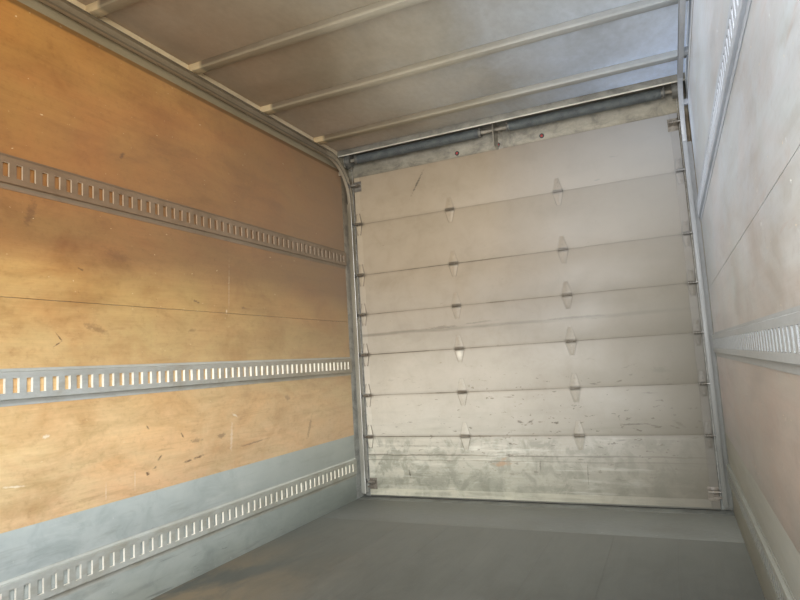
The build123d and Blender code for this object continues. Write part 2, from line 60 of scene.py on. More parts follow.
# %% Planes of the load space
lining_thickness = 0.012
wall_in = -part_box("scuff_plates")[0].x - lining_thickness
floor_low, floor_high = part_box("floor_boards")
z_floor = floor_high.z
z_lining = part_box("plywood_lining_left")[1].z
y_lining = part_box("front_lining")[1].y
z_bow, z_bow_top = (corner.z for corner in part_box("roof_bows"))
y_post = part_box("scuff_plates")[1].y
panel_low, panel_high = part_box("door_panel_1")
y_door = panel_low.y
door_half = panel_high.x
z_joints = [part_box(f"door_panel_{n}")[1].z for n in range(1, 8)]
z_door_base = panel_low.z - 0.0015
rail_heights = {"low": 0.234, "middle": 0.965, "high": 1.759}
post_pitch = 0.4064
post_places = [y_door - 0.30 - n * post_pitch for n in range(10)]
lap_places = post_places[1::3]
front_posts = [-0.813, -0.406, 0.0, 0.406, 0.813]
print("inside width", round(2 * wall_in, 3), "floor", round(z_floor, 3))
print("joints of the door at", [round(z, 3) for z in z_joints])

# %% [markdown]
# ## Small helpers for modelling
# Modelling by hand in Blender is a chain of operators: add a primitive, enter edit mode, select
# what you mean, and extrude, inset or bevel it. Operators act on everything that is selected, so
# each helper first clears the selection. A flat outline starts as a circle primitive with as many
# corners as we need, each then moved to its place.

# %% Selecting and placing
def clear():
    bpy.ops.object.select_all(action="DESELECT")


def only(piece):
    """Make this piece the one that operators act on."""
    clear()
    piece.select_set(True)
    bpy.context.view_layer.objects.active = piece


def named(name):
    piece = bpy.context.object
    piece.name = name
    piece.data.name = name
    return piece


def apply_place(piece):
    only(piece)
    bpy.ops.object.transform_apply(location=True, rotation=True, scale=True)
    return piece


def edit(piece, select="SELECT", kind="FACE"):
    only(piece)
    bpy.ops.object.mode_set(mode="EDIT")
    bpy.ops.mesh.select_mode(type=kind)
    bpy.ops.mesh.select_all(action=select)


def leave():
    bpy.ops.object.mode_set(mode="OBJECT")


def extrude(x, y, z):
    bpy.ops.mesh.extrude_region_move(TRANSFORM_OT_translate={"value": (x, y, z)})


def moved(piece, matrix):
    piece.data.transform(matrix)
    return piece


def pick_faces(piece, test):
    """Select the faces for which test(centre, normal) holds, ready for edit mode."""
    edit(piece, "DESELECT")
    leave()
    for face in piece.data.polygons:
        face.select = test(face.center, face.normal)
    bpy.ops.object.mode_set(mode="EDIT")


def mend_normals(piece):
    edit(piece)
    bpy.ops.mesh.remove_doubles(threshold=0.00001)
    bpy.ops.mesh.normals_make_consistent(inside=False)
    leave()
    return piece


# %% Primitives at their size and place
def block(name, low, high):
    size = [b - a for a, b in zip(low, high)]
    centre = [(a + b) / 2 for a, b in zip(low, high)]
    clear()
    bpy.ops.mesh.primitive_cube_add(size=1, location=centre, scale=size)
    return apply_place(named(name))


def outline_face(name, corners):
    clear()
    bpy.ops.mesh.primitive_circle_add(vertices=len(corners), fill_type="NGON")
    piece = named(name)
    for vertex, corner in zip(piece.data.vertices, corners):
        vertex.co = corner
    return piece


def bar(name, corners, move):
    """A straight bar: an outline of corners, extruded by move."""
    piece = outline_face(name, corners)
    edit(piece)
    extrude(*move)
    leave()
    return mend_normals(piece)


AXES = {"X": (0, math.pi / 2, 0), "Y": (-math.pi / 2, 0, 0), "Z": (0, 0, 0)}


def rod(name, axis, radius, depth, centre, sides=24):
    clear()
    bpy.ops.mesh.primitive_cylinder_add(vertices=sides, radius=radius, depth=depth,
                                        location=centre, rotation=AXES[axis])
    return apply_place(named(name))


# %% Modifiers, copies and joins
def soften(piece, width, segments=2, angle=30):
    """Round the edges with a Bevel modifier, applied."""
    only(piece)
    rounding = piece.modifiers.new("rounding", "BEVEL")
    rounding.width = width
    rounding.segments = segments
    rounding.limit_method = "ANGLE"
    rounding.angle_limit = math.radians(angle)
    rounding.harden_normals = False
    bpy.ops.object.modifier_apply(modifier="rounding")
    return piece


def repeated(piece, count, step):
    """Copy the piece in a straight row with an Array modifier, applied."""
    only(piece)
    row = piece.modifiers.new("row", "ARRAY")
    row.count = count
    row.use_relative_offset = False
    row.use_constant_offset = True
    row.constant_offset_displace = step
    bpy.ops.object.modifier_apply(modifier="row")
    return piece


def copied(piece, name, move=(0, 0, 0)):
    twin = piece.copy()
    twin.data = piece.data.copy()
    twin.name = name
    twin.data.name = name
    bpy.context.collection.objects.link(twin)
    twin.data.transform(Matrix.Translation(move))
    return twin


def turned_over(piece):
    """Bring the piece to the other side of the body, with its faces outwards again."""
    piece.data.transform(Matrix.Scale(-1, 4, (1, 0, 0)))
    piece.data.flip_normals()
    return piece


def mirrored(piece, name):
    return turned_over(copied(piece, name))


def joined(name, pieces):
    clear()
    for piece in pieces:
        piece.select_set(True)
    bpy.context.view_layer.objects.active = pieces[0]
    if len(pieces) > 1:
        bpy.ops.object.join()
    return named(name)


def smooth(piece, angle=35):
    only(piece)
    bpy.ops.object.shade_smooth_by_angle(angle=math.radians(angle))
    return piece


def finished(piece, finish, stands_for=(), second=None, where=None):
    """Put on the finish, let the piece ride on the body, and hide the CAD nodes it stands for.
    A second finish goes on the faces for which where(centre, normal) holds."""
    piece.data.materials.clear()
    piece.data.materials.append(finish)
    if second:
        piece.data.materials.append(second)
        for face in piece.data.polygons:
            face.material_index = int(where(face.center, face.normal))
    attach(piece, "root")
    if stands_for:
        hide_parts(*stands_for)
    piece.data.calc_loop_triangles()
    print(f"{piece.name}: {len(piece.data.loop_triangles)} triangles")
    return piece


# %% [markdown]
# ## Helpers for finishes
# Every finish is a node tree on one Principled shader. Patterns read the Object coordinates, so a
# grain or scratch stays where it is when the camera moves. The `Finish` class below only shortens
# the wiring. Most methods add a node and return its output. The colour is built up in layers, and
# `now` holds it: `start` lays the first, `tint` and `shift` multiply it, and `cover` lays another
# colour over it. Colours are given as the eye reads them on a screen, and `srgb` turns them into
# the linear numbers that the shader wants.

# %% Colour and node helper
def srgb(red, green, blue):
    """A colour as it reads on a screen, from 0 to 255, in the shader's linear numbers."""
    def linear(value):
        value /= 255
        return value / 12.92 if value <= 0.04045 else ((value + 0.055) / 1.055) ** 2.4
    return (linear(red), linear(green), linear(blue), 1.0)


def factor(red, green, blue):
    """A colour to multiply by: 1 changes nothing."""
    return (red, green, blue, 1.0)


# The middle stop of many tints, where nothing changes.
PLAIN = (0.5, 1, 1, 1)


class Finish:
    """Nodes on one Principled shader. `now` is the colour as far as it has been built up."""

    def __init__(self, name, metallic=0.0):
        self.material = bpy.data.materials.new(name)
        self.material.use_nodes = True
        self.tree = self.material.node_tree
        self.shader = self.tree.nodes["Principled BSDF"]
        self.shader.inputs["Metallic"].default_value = metallic
        self.object_place = self.node("ShaderNodeTexCoord").outputs["Object"]
        self.split = self.node("ShaderNodeSeparateXYZ")
        self.feed(self.split.inputs[0], self.object_place)
        self.now = None

    def node(self, kind, **settings):
        made = self.tree.nodes.new(kind)
        for key, value in settings.items():
            setattr(made, key, value)
        return made

    def feed(self, socket, value):
        if isinstance(value, bpy.types.NodeSocket):
            self.tree.links.new(value, socket)
        else:
            socket.default_value = value

    def stretched(self, scale):
        """Object coordinates, multiplied by a scale for each axis."""
        mapping = self.node("ShaderNodeMapping")
        self.feed(mapping.inputs["Vector"], self.object_place)
        mapping.inputs["Scale"].default_value = scale
        return mapping.outputs["Vector"]

    def axis(self, letter):
        return self.split.outputs[letter]

    def aside(self):
        """Distance from the body's middle plane."""
        return self.sums("ABSOLUTE", self.axis("X"), 0.0)

    def noise(self, scale, stretch=(1, 1, 1), detail=4.0, rough=0.55, bend=0.0):
        made = self.node("ShaderNodeTexNoise")
        self.feed(made.inputs["Vector"], self.stretched(stretch))
        for key, number in (("Scale", scale), ("Detail", detail), ("Roughness", rough), ("Distortion", bend)):
            made.inputs[key].default_value = number
        return made.outputs["Fac"]

    def between(self, value, low, high, out_low=0.0, out_high=1.0):
        """Map Range: value from low..high to out_low..out_high, clamped."""
        made = self.node("ShaderNodeMapRange")
        self.feed(made.inputs["Value"], value)
        for key, number in (("From Min", low), ("From Max", high), ("To Min", out_low), ("To Max", out_high)):
            made.inputs[key].default_value = number
        return made.outputs["Result"]

    def along(self, letter, *limits):
        return self.between(self.axis(letter), *limits)

    def sums(self, operation, first, second):
        made = self.node("ShaderNodeMath", operation=operation)
        self.feed(made.inputs[0], first)
        self.feed(made.inputs[1], second)
        return made.outputs[0]

    def times(self, first, *others):
        for other in others:
            first = self.sums("MULTIPLY", first, other)
        return first

    def most(self, first, *others):
        for other in others:
            first = self.sums("MAXIMUM", first, other)
        return first

    def far(self, value, place):
        """How far the value is from a place."""
        return self.sums("ABSOLUTE", self.sums("SUBTRACT", value, place), 0.0)

    def nearest(self, letter, places):
        """Distance along one axis to the nearest of some places."""
        least = self.far(self.axis(letter), places[0])
        for place in places[1:]:
            least = self.sums("MINIMUM", least, self.far(self.axis(letter), place))
        return least

    def mix(self, amount, first, second, way="MIX"):
        made = self.node("ShaderNodeMix", data_type="RGBA", blend_type=way)
        self.feed(made.inputs[0], amount)
        self.feed(made.inputs[6], first)
        self.feed(made.inputs[7], second)
        return made.outputs[2]

    def ramp(self, value, *stops, read=srgb):
        """A colour ramp: each stop is a position and three numbers."""
        made = self.node("ShaderNodeValToRGB")
        self.feed(made.inputs[0], value)
        points = made.color_ramp.elements
        while len(points) < len(stops):
            points.new(0.5)
        for point, (position, *numbers) in zip(points, stops):
            point.position = position
            point.color = read(*numbers)
        return made.outputs[0]

    def start(self, value, *stops):
        """Begin the colour with a ramp, or with a colour that is ready."""
        self.now = self.ramp(value, *stops) if stops else value

    def tint(self, value, *stops):
        """Multiply the colour by the factors of a ramp."""
        self.now = self.mix(1.0, self.now, self.ramp(value, *stops, read=factor), "MULTIPLY")

    def shift(self, value, *numbers):
        """Multiply the colour by these factors where the value is 1, and by nothing where it is 0."""
        self.tint(value, (0.0, 1, 1, 1), (1.0, *numbers))

    def cover(self, amount, *colour):
        """Lay another colour over: three screen numbers, or one socket."""
        self.now = self.mix(amount, self.now, srgb(*colour) if len(colour) == 3 else colour[0])

    def flat(self, across, up):
        """Two axes of the piece laid flat, for marks that are listed one by one."""
        made = self.node("ShaderNodeCombineXYZ")
        self.feed(made.inputs[0], self.axis(across))
        self.feed(made.inputs[1], self.axis(up))
        return made.outputs[0]

    def marks(self, flat, rows, torn):
        """Cover from 0 to 1 of long ovals: each row is centre, angle, length, width and strength."""
        covers = []
        for centre, angle, length, width, strength in rows:
            place = self.node("ShaderNodeMapping", vector_type="TEXTURE")
            self.feed(place.inputs["Vector"], flat)
            place.inputs["Location"].default_value = (*centre, 0)
            place.inputs["Rotation"].default_value = (0, 0, math.radians(angle))
            place.inputs["Scale"].default_value = (length / 2, width / 2, 1)
            reach = self.node("ShaderNodeVectorMath", operation="LENGTH")
            self.feed(reach.inputs[0], place.outputs[0])
            edge = self.sums("ADD", reach.outputs["Value"], torn)
            covers.append(self.between(edge, 1.0, 0.35, 0.0, strength))
        return self.most(*covers)

    def ready(self, roughness, *bumps):
        """Wire up colour and roughness, and stack the bumps: height, depth and strength."""
        self.feed(self.shader.inputs["Base Color"], self.now)
        self.feed(self.shader.inputs["Roughness"], roughness)
        normal = None
        for height, depth, strength in bumps:
            made = self.node("ShaderNodeBump")
            self.feed(made.inputs["Height"], height)
            made.inputs["Distance"].default_value = depth
            made.inputs["Strength"].default_value = strength
            if normal:
                self.feed(made.inputs["Normal"], normal)
            normal = made.outputs["Normal"]
            self.feed(self.shader.inputs["Normal"], normal)
        return self.material


def put_on(finish, *names):
    """Give CAD nodes their finish."""
    for name in names:
        nodes[name].data.materials.clear()
        nodes[name].data.materials.append(finish)
    print(finish.name, "on", ", ".join(names))


# %% [markdown]
# ## The camera
# The photograph was taken by hand, from the front right corner of the load space, looking back to
# the door: turned 24 degrees to the left, tipped up 6 degrees and rolled a little.
# These angles and the place came from a fit to the slots of the rails and the edges of the walls.
# A camera looks along its own -Z, so we build its three axes and write them as a matrix.

# %% Camera
yaw = math.radians(24.081)
pitch = math.radians(5.926)
roll = math.radians(-3.427)
eye = Vector((0.9782, -1.9053, 1.1757))
forward = Vector((-math.sin(yaw) * math.cos(pitch), math.cos(yaw) * math.cos(pitch), math.sin(pitch)))
level = Vector((math.cos(yaw), math.sin(yaw), 0))
lifted = level.cross(forward)
camera_right = math.cos(roll) * level + math.sin(roll) * lifted
camera_up = -math.sin(roll) * level + math.cos(roll) * lifted

camera_data = bpy.data.cameras.new("camera")
camera_data.sensor_width = 36
camera_data.lens = 26.97
camera_data.clip_start = 0.02
camera = bpy.data.objects.new("camera", camera_data)
bpy.context.collection.objects.link(camera)
turn = Matrix((camera_right, camera_up, -forward)).transposed().to_4x4()
camera.matrix_world = Matrix.Translation(eye) @ turn
bpy.context.scene.camera = camera
print("camera at", [round(value, 3) for value in eye])

# %% [markdown]
# ## Floor and light
# The body stands on a plain pale floor under a plain, soft sky. Inside the closed box no sky light
# arrives, so the load space has its own soft light, as if its front were open. Two wide panels at
# the front wall, behind the camera, stand for the sky and for the ground before it. A narrower one
# washes the left half of the door, one under the roof lifts the shadows, and one lightens the top
# of the right wall. Each panel stays clear of the front lining, all over, so that no light comes
# out on the wall's other side. Lamps aren't part of the object.

# %% Studio
view = bpy.context.scene.view_settings
view.view_transform = "Standard"

clear()
bpy.ops.mesh.primitive_plane_add(size=40, location=(0, 0, 0))
studio_floor = named("studio_floor")
floor_paint = Finish("studio_floor")
floor_paint.start(floor_paint.mix(floor_paint.noise(0.7), srgb(226, 226, 224), srgb(232, 232, 231)))
studio_floor.data.materials.append(floor_paint.ready(0.85))

world = bpy.data.worlds.new("soft_sky")
bpy.context.scene.world = world
world.use_nodes = True
sky = world.node_tree.nodes["Background"]
sky.inputs["Color"].default_value = (0.96, 0.98, 1.0, 1.0)
sky.inputs["Strength"].default_value = 0.75


def lamp(name, kind, power, place, aim, size, tint=(1, 1, 1), spread=180):
    """Size is width and height of a panel, or the angle of the sun; spread is how wide a panel shines."""
    data = bpy.data.lights.new(name, kind)
    data.energy = power
    data.color = tint
    if kind == "AREA":
        data.shape = "RECTANGLE"
        data.size, data.size_y = size
        data.spread = math.radians(spread)
    else:
        data.angle = math.radians(size)
    made = bpy.data.objects.new(name, data)
    bpy.context.collection.objects.link(made)
    made.location = place
    made.rotation_euler = (Vector(aim) - Vector(place)).to_track_quat("-Z", "Y").to_euler()
    made.visible_camera = False


cool = (0.95, 0.98, 1.0)
lamp("sun", "SUN", 1.1, (6, -8, 12), (0, 0, 0), 25)
lamp("rear_sky", "AREA", 260, (-4, 9, 4), (0, 2, 1.2), (5, 4))
lamp("front_sky", "AREA", 58, (0.66, y_lining + 0.175, 1.79), (-0.14, 1.745, 1.29), (0.78, 1.4), cool, 130)
lamp("front_ground", "AREA", 23.3, (0.35, y_lining + 0.145, 0.567), (0.35, 1.50, 2.517),
     (1.6, 0.58), (0.97, 0.98, 1.0))
lamp("door_wash", "AREA", 7.5, (0.84, y_lining + 0.165, 1.78), (-0.71, 2.215, 0.83),
     (0.5, 0.8), (0.98, 0.99, 1.0), 60)
lamp("roof_glow", "AREA", 10, (0.3, -0.3, z_bow - 0.05), (0.3, -0.3, 0), (1.4, 3.2), cool)
lamp("right_glow", "AREA", 10, (-0.7, 0.6, 1.9), (1.2, 1.3, 2.5), (1.2, 0.8), (0.90, 0.95, 1.0), 110)
print("lamps set")

# %% [markdown]
# ## The plywood lining
# The walls are lined with varnished plywood. Its colour changes slowly: pale and yellow on the lower
# sheet, redder and darker above the second rail, and greyer towards the door. The right wall is paler
# all over, and pale and cool towards the top, which is painted haze. A colour ramp over the height
# gives that, with a slow noise added to the height so that no edge is straight. The figure of the
# veneer is a noise stretched along the body, and it stays faint.
# Last come the marks that make this wall this wall: dark dents, smudges and pale chips. Each is an
# oval, placed by its centre on the wall, and torn by a fine noise so that it has no clean edge.

# %% Plywood finish
def plywood(name, heights, dust, dust_span, lean, dark_marks=(), pale_marks=()):
    wood = Finish(name)
    cloud = wood.noise(1.25, (1, 0.55, 1.25), 3.0, 0.5, 0.5)
    mottle = wood.noise(6.0, (1, 0.5, 1.4), 5.0, 0.66, 0.5)
    brushed = wood.noise(8.0, (1, 0.13, 2.0), 5.0, 0.66, 0.5)
    olive = wood.noise(2.1, (1, 0.6, 1.3), 4.0, 0.6, 1.4)
    blotch = wood.noise(3.0, (1, 0.7, 1.1), 5.0, 0.62, 0.9)
    speck = wood.noise(46.0, (1, 0.8, 1.0), 4.0, 0.7)
    figure = wood.noise(15.0, (1, 0.2, 1.5), 5.0, 0.62, 0.9)
    fibre = wood.noise(110.0, (1, 0.05, 1.5), 4.0, 0.7)
    chip = wood.noise(75.0, (1, 0.5, 1), 2.0, 0.5)
    torn = wood.between(wood.noise(85.0, (1, 0.6, 1), 3.0, 0.7), 0.3, 0.7, -0.45, 0.45)
    height = wood.sums("ADD", wood.axis("Z"), wood.between(cloud, 0.25, 0.75, -0.13, 0.13))
    height = wood.sums("ADD", height, wood.along("Y", -0.7, 0.6, 0.0, lean))
    wood.start(wood.between(height, z_floor, z_lining), *heights)
    wood.tint(mottle, (0.3, 0.80, 0.75, 0.68), PLAIN, (0.7, 1.07, 1.09, 1.12))
    wood.tint(brushed, (0.3, 0.90, 0.87, 0.83), PLAIN, (0.7, 1.05, 1.05, 1.04))
    wood.tint(olive, (0.34, 1.04, 0.96, 0.92), PLAIN, (0.68, 0.98, 1.05, 1.04))
    wood.tint(cloud, (0.3, 0.90, 0.87, 0.82), PLAIN, (0.7, 1.03, 1.04, 1.06))
    wood.tint(blotch, (0.32, 0.86, 0.78, 0.70), (0.48, 1, 1, 1), (0.7, 1.04, 1.03, 1.0))
    wood.tint(speck, (0.28, 0.88, 0.85, 0.82), (0.45, 1, 1, 1), (0.72, 1.05, 1.05, 1.05))
    wood.tint(fibre, (0.3, 0.95, 0.94, 0.92), (0.7, 1.03, 1.03, 1.04))
    wood.cover(wood.between(figure, 0.6, 0.78, 0.0, 0.42), 148, 98, 54)
    if dark_marks:
        wall = wood.flat("Y", "Z")
        wood.cover(wood.marks(wall, dark_marks, torn), 84, 52, 30)
        wood.cover(wood.marks(wall, pale_marks, torn), 246, 232, 206)
    wood.cover(wood.between(chip, 0.74, 0.78, 0.0, 0.6), 238, 214, 170)
    # Towards the door a duller tone lies over the middle height of the wall; on the right wall it is pale and
    # cool, a painted haze.
    wood.cover(wood.times(wood.along("Y", *dust_span), wood.along("Z", 1.0, 2.0, 0.55, 0.85)), *dust)
    right_wall = wood.along("X", 0.0, 0.1)
    # Painted light: on the right wall the far top corner behind the track is made lighter and cooler, and the
    # far lower part lighter.
    painted_light_corner = wood.times(right_wall, wood.along("Y", 1.65, 1.85), wood.along("Z", 2.20, 2.45))
    wood.shift(painted_light_corner, 1.5, 1.6, 1.75)
    painted_light_far_low = wood.times(right_wall, wood.along("Y", 1.1, 1.9), wood.along("Z", 1.6, 1.2))
    wood.shift(painted_light_far_low, 1.22, 1.22, 1.24)
    # Painted shade: a thin dark line along the plywood's top edge, under the roof rail.
    wood.cover(wood.along("Z", z_lining - 0.026, z_lining - 0.018, 0.0, 0.6), 78, 56, 30)
    rough = wood.between(mottle, 0.3, 0.7, 0.38, 0.56)
    return wood.ready(rough, (fibre, 0.0004, 0.3), (mottle, 0.0015, 0.25))


# Marks on the left wall: (y, z) of the centre, angle, length, width, strength.
wall_dents = [
    ((-0.007, 2.180), 60, 0.040, 0.024, 0.75), ((-0.433, 1.822), 70, 0.120, 0.040, 0.45),
    ((-0.217, 1.633), -19, 0.034, 0.012, 0.7), ((-0.041, 1.718), -13, 0.150, 0.060, 0.3),
    ((0.436, 1.545), -12, 0.062, 0.018, 0.75), ((0.807, 1.533), -7, 0.064, 0.020, 0.55),
    ((-0.316, 1.356), -50, 0.050, 0.007, 0.8), ((-0.320, 1.326), 32, 0.048, 0.007, 0.8),
    ((-0.149, 1.391), -19, 0.130, 0.036, 0.4), ((0.403, 1.396), 7, 0.060, 0.020, 0.4),
    ((0.110, 0.751), -24, 0.026, 0.018, 0.9), ((0.183, 0.808), 38, 0.036, 0.015, 0.8),
    ((0.153, 0.769), 21, 0.030, 0.012, 0.7), ((0.356, 0.763), 1, 0.060, 0.014, 0.8),
    ((0.431, 0.770), 7, 0.078, 0.015, 0.8), ((0.324, 0.889), -54, 0.040, 0.013, 0.75),
    ((0.114, 0.954), -50, 0.032, 0.010, 0.7), ((0.416, 0.852), -4, 0.085, 0.028, 0.45),
    ((0.601, 0.852), 7, 0.070, 0.028, 0.5), ((0.865, 0.779), 3, 0.290, 0.012, 0.5),
    ((1.426, 0.790), 66, 0.170, 0.034, 0.4), ((1.197, 1.002), -34, 0.070, 0.046, 0.4),
]
wall_chips = [
    ((-0.365, 0.977), 0, 0.034, 0.018, 0.9), ((-0.492, 0.817), -7, 0.100, 0.009, 0.8),
    ((0.707, 0.946), -29, 0.058, 0.014, 0.8), ((0.674, 0.834), 84, 0.170, 0.024, 0.5),
    ((0.041, 0.736), 89, 0.090, 0.006, 0.7), ((-0.106, 0.723), 89, 0.070, 0.006, 0.6),
    ((0.690, 1.641), 87, 0.360, 0.008, 0.25), ((0.665, 1.505), 80, 0.030, 0.014, 0.7),
]
plywood_left = plywood(
    "plywood_lining",
    [(0.18, 226, 193, 152), (0.33, 230, 197, 147), (0.486, 197, 163, 109), (0.585, 188, 148, 88),
     (0.65, 142, 101, 56), (0.81, 152, 102, 48), (1.0, 182, 126, 60)],
    (134, 118, 100), (-0.6, 2.3), 0.10, wall_dents, wall_chips)
# The right wall's ramp, pale and cool towards the top, and its pale cool tone over the middle height are
# painted haze over dusty plywood.
plywood_right = plywood(
    "dusty_plywood_painted_haze",
    [(0.15, 138, 130, 114), (0.26, 160, 139, 119), (0.36, 164, 148, 131), (0.46, 172, 168, 160),
     (0.6, 168, 170, 173), (0.8, 171, 177, 186), (1.0, 198, 205, 216)],
    (178, 184, 190), (-3.0, 4.0), 0.0)
put_on(plywood_left, "plywood_lining_left", "front_lining")
put_on(plywood_right, "plywood_lining_right")

# %% [markdown]
# ## Painted and plated steel
# Most small parts are steel, either painted or zinc plated. Both need the same things: a base
# colour that drifts a little, streaks of dirt, fine scratches, and a roughness that changes with
# them. One function makes them all, and each finish only gives its colours and amounts.

# %% Steel finishes
def steel(name, base, dark, light, rough=(0.35, 0.6), metallic=0.0, dirt=0.4, wear=0.3,
          grain=(1, 1, 1), scale=6.0, bump=0.0004):
    """base, dark and light are screen colours; dirt and wear say how much dark and light lie over."""
    made = Finish(name, metallic)
    drift = made.noise(scale, grain, 5.0, 0.6, 0.3)
    fine = made.noise(scale * 14, grain, 4.0, 0.7)
    streak = made.noise(scale * 9, (grain[0] * 0.4, grain[1] * 0.12, grain[2] * 1.6), 3.0, 0.6)
    made.start(drift, (0.28, *dark), (0.5, *base), (0.74, *light))
    made.cover(made.between(fine, 0.5, 0.8, 0.0, dirt), *dark)
    made.cover(made.between(streak, 0.62, 0.72, 0.0, wear), *light)
    return made.ready(made.between(drift, 0.3, 0.7, *rough), (fine, bump, 0.5))


# A grain that is the same along every axis.
even = (1, 1, 1)
black_paint = steel("chassis_black", (62, 62, 64), (38, 38, 40), (88, 86, 84))
aluminium = steel("dull_aluminium", (188, 190, 194), (170, 172, 175), (202, 204, 208),
                  (0.32, 0.5), 0.55, 0.22, 0.2, (1, 0.3, 1), 5.0)
zinc = steel("zinc_plate", (178, 176, 168), (124, 118, 106), (206, 206, 200),
             (0.3, 0.55), 0.35, 0.45, 0.3, even, 16.0)
roller_worn = steel("roller_worn", (140, 136, 130), (78, 72, 66), (180, 178, 172),
                    (0.25, 0.5), 0.6, 0.5, 0.3, even, 30.0)
spring_oil = steel("spring_oiled", (92, 96, 94), (72, 74, 73), (110, 112, 106),
                   (0.45, 0.65), 0.1, 0.4, 0.3, even, 20.0)
cast = steel("cast_drum", (112, 109, 101), (82, 79, 72), (138, 135, 126),
             (0.4, 0.6), 0.3, 0.4, 0.2, even, 24.0, 0.0008)
cable_wire = steel("cable_wire", (176, 174, 166), (110, 106, 98), (206, 204, 198),
                   (0.3, 0.5), 0.5, 0.4, 0.3, even, 60.0)
dusty_bracket = steel("dusty_bracket", (146, 138, 122), (104, 96, 84), (172, 166, 150),
                      (0.45, 0.65), 0.1, 0.45, 0.2, even, 14.0)

put_on(black_paint, "long_sills", "crossmembers")
put_on(aluminium, "front_sill", "bottom_rails", "front_corner_posts", "corner_caps", "front_top_rail")
put_on(zinc, "spring_shaft", "door_latch")
put_on(dusty_bracket, "bearing_plates")
put_on(roller_worn, "rollers")
put_on(spring_oil, "counter_springs")
put_on(cast, "cable_drums")
put_on(cable_wire, "lift_cables")

# %% [markdown]
# ## Steel that changes from place to place
# The same zinc looks different along its length. The rails are blue-grey like the scuff plate below
# and brown with dust under the roof, with painted highlights and painted shade along their rims. The
# roof bows have a lighter flat face and a web painted darker as shade. The door tracks carry painted
# highlights on their lips. The rear frame is grey paint outside and has gone olive inside, with a
# band of painted shade over the door. Several of these finishes also get lighter, darker or cooler
# from place to place as painted light and haze. So each of these finishes first asks where the point
# is, by its X, Y or Z, and then picks the colour.

# %% Rails, bows, tracks and rear frame
def aged(name, build_colour, rough=(0.4, 0.62), metallic=0.1, grain=(1, 0.3, 1), scale=6.0):
    """A steel whose colour build_colour(finish) starts, with the same drift, grime and fine bump."""
    made = Finish(name, metallic)
    drift = made.noise(scale, grain, 4.0, 0.6, 0.4)
    fine = made.noise(scale * 13, grain, 4.0, 0.7)
    build_colour(made)
    made.tint(drift, (0.3, 0.86, 0.85, 0.83), PLAIN, (0.72, 1.07, 1.08, 1.09))
    made.tint(fine, (0.35, 0.93, 0.93, 0.92), (0.65, 1.03, 1.03, 1.03))
    return made.ready(made.between(drift, 0.3, 0.7, *rough), (fine, 0.0003, 0.4))


def rail_colour_left(made):
    """Blue-grey low down and brown under the roof, with a painted highlight on the lower rails' upper rims, a
    dark line on the high rail's upper rim, and painted shade in the fold under each band."""
    height = made.along("Z", 0.4, 2.0)
    near = made.ramp(height, (0.0, 187, 191, 187), (0.42, 182, 187, 186),
                     (0.6, 172, 172, 165), (0.95, 130, 103, 75))
    far = made.ramp(height, (0.0, 162, 163, 152), (0.42, 160, 153, 136), (0.95, 130, 113, 94))
    made.start(made.mix(made.along("Y", -0.6, 1.4), near, far))
    dusty = made.noise(11.0, (1, 0.5, 1), 5.0, 0.66, 0.4)
    made.tint(dusty, (0.34, 0.84, 0.80, 0.74), (0.52, 1, 1, 1), (0.7, 1.05, 1.06, 1.07))
    # Painted highlights on the low and middle rims, a dark line on the high rim, and then painted shade in
    # the fold under each band.
    rims = (("low", (226, 230, 224), 0.55), ("middle", (206, 208, 202), 0.35), ("high", (104, 84, 60), 0.4))
    for row, rim, amount in rims:
        middle = z_floor + rail_heights[row]
        made.cover(made.between(made.far(made.axis("Z"), middle + 0.056), 0.007, 0.003, 0.0, amount), *rim)
        below = made.far(made.axis("Z"), middle - 0.058)
        made.cover(made.between(below, 0.009, 0.003, 0.0, 0.4), 112, 104, 88)


def rail_colour_right(made):
    # Painted haze: the right rails grow pale and cool towards the top, like the right wall.
    made.start(made.along("Z", 0.4, 2.0), (0.0, 148, 149, 139), (0.46, 155, 156, 153), (1.0, 170, 177, 187))


def slot_colour_left(made):
    """Painted highlight: the turned edges are near white low down, fading towards the door, and brown in the
    high rail.
    """
    along = made.along("Y", -1.0, 1.9)
    bright = made.ramp(along, (0.0, 246, 243, 234), (0.5, 240, 235, 222), (1.0, 232, 225, 206))
    brown = made.ramp(along, (0.0, 216, 196, 168), (0.45, 168, 140, 112), (1.0, 142, 124, 104))
    made.start(made.mix(made.along("Z", 1.3, 1.8), bright, brown))


def slot_colour_right(made):
    # Painted shade: the right rails' turned edges are kept dark so that they do not shine, and grow paler and
    # cooler towards the top.
    made.start(made.along("Z", 0.4, 2.0), (0.0, 96, 97, 91), (0.46, 108, 110, 109), (1.0, 150, 155, 163))


def bow_colour(made):
    """Painted light: a lighter flat face over a web painted darker as shade, brown on the left and pale and
    cool on the right as on the roof, and a painted highlight on the end at the left wall.
    """
    across = made.along("X", -1.1, 1.1)
    face = made.ramp(across, (0.0, 148, 134, 108), (0.5, 141, 133, 115), (1.0, 160, 163, 164))
    web = made.ramp(across, (0.0, 124, 108, 86), (0.5, 128, 120, 103), (1.0, 154, 157, 158))
    made.start(made.mix(made.along("Z", z_bow + 0.015, z_bow + 0.009), web, face))
    made.cover(made.along("X", -1.110, -1.135), 214, 190, 148)


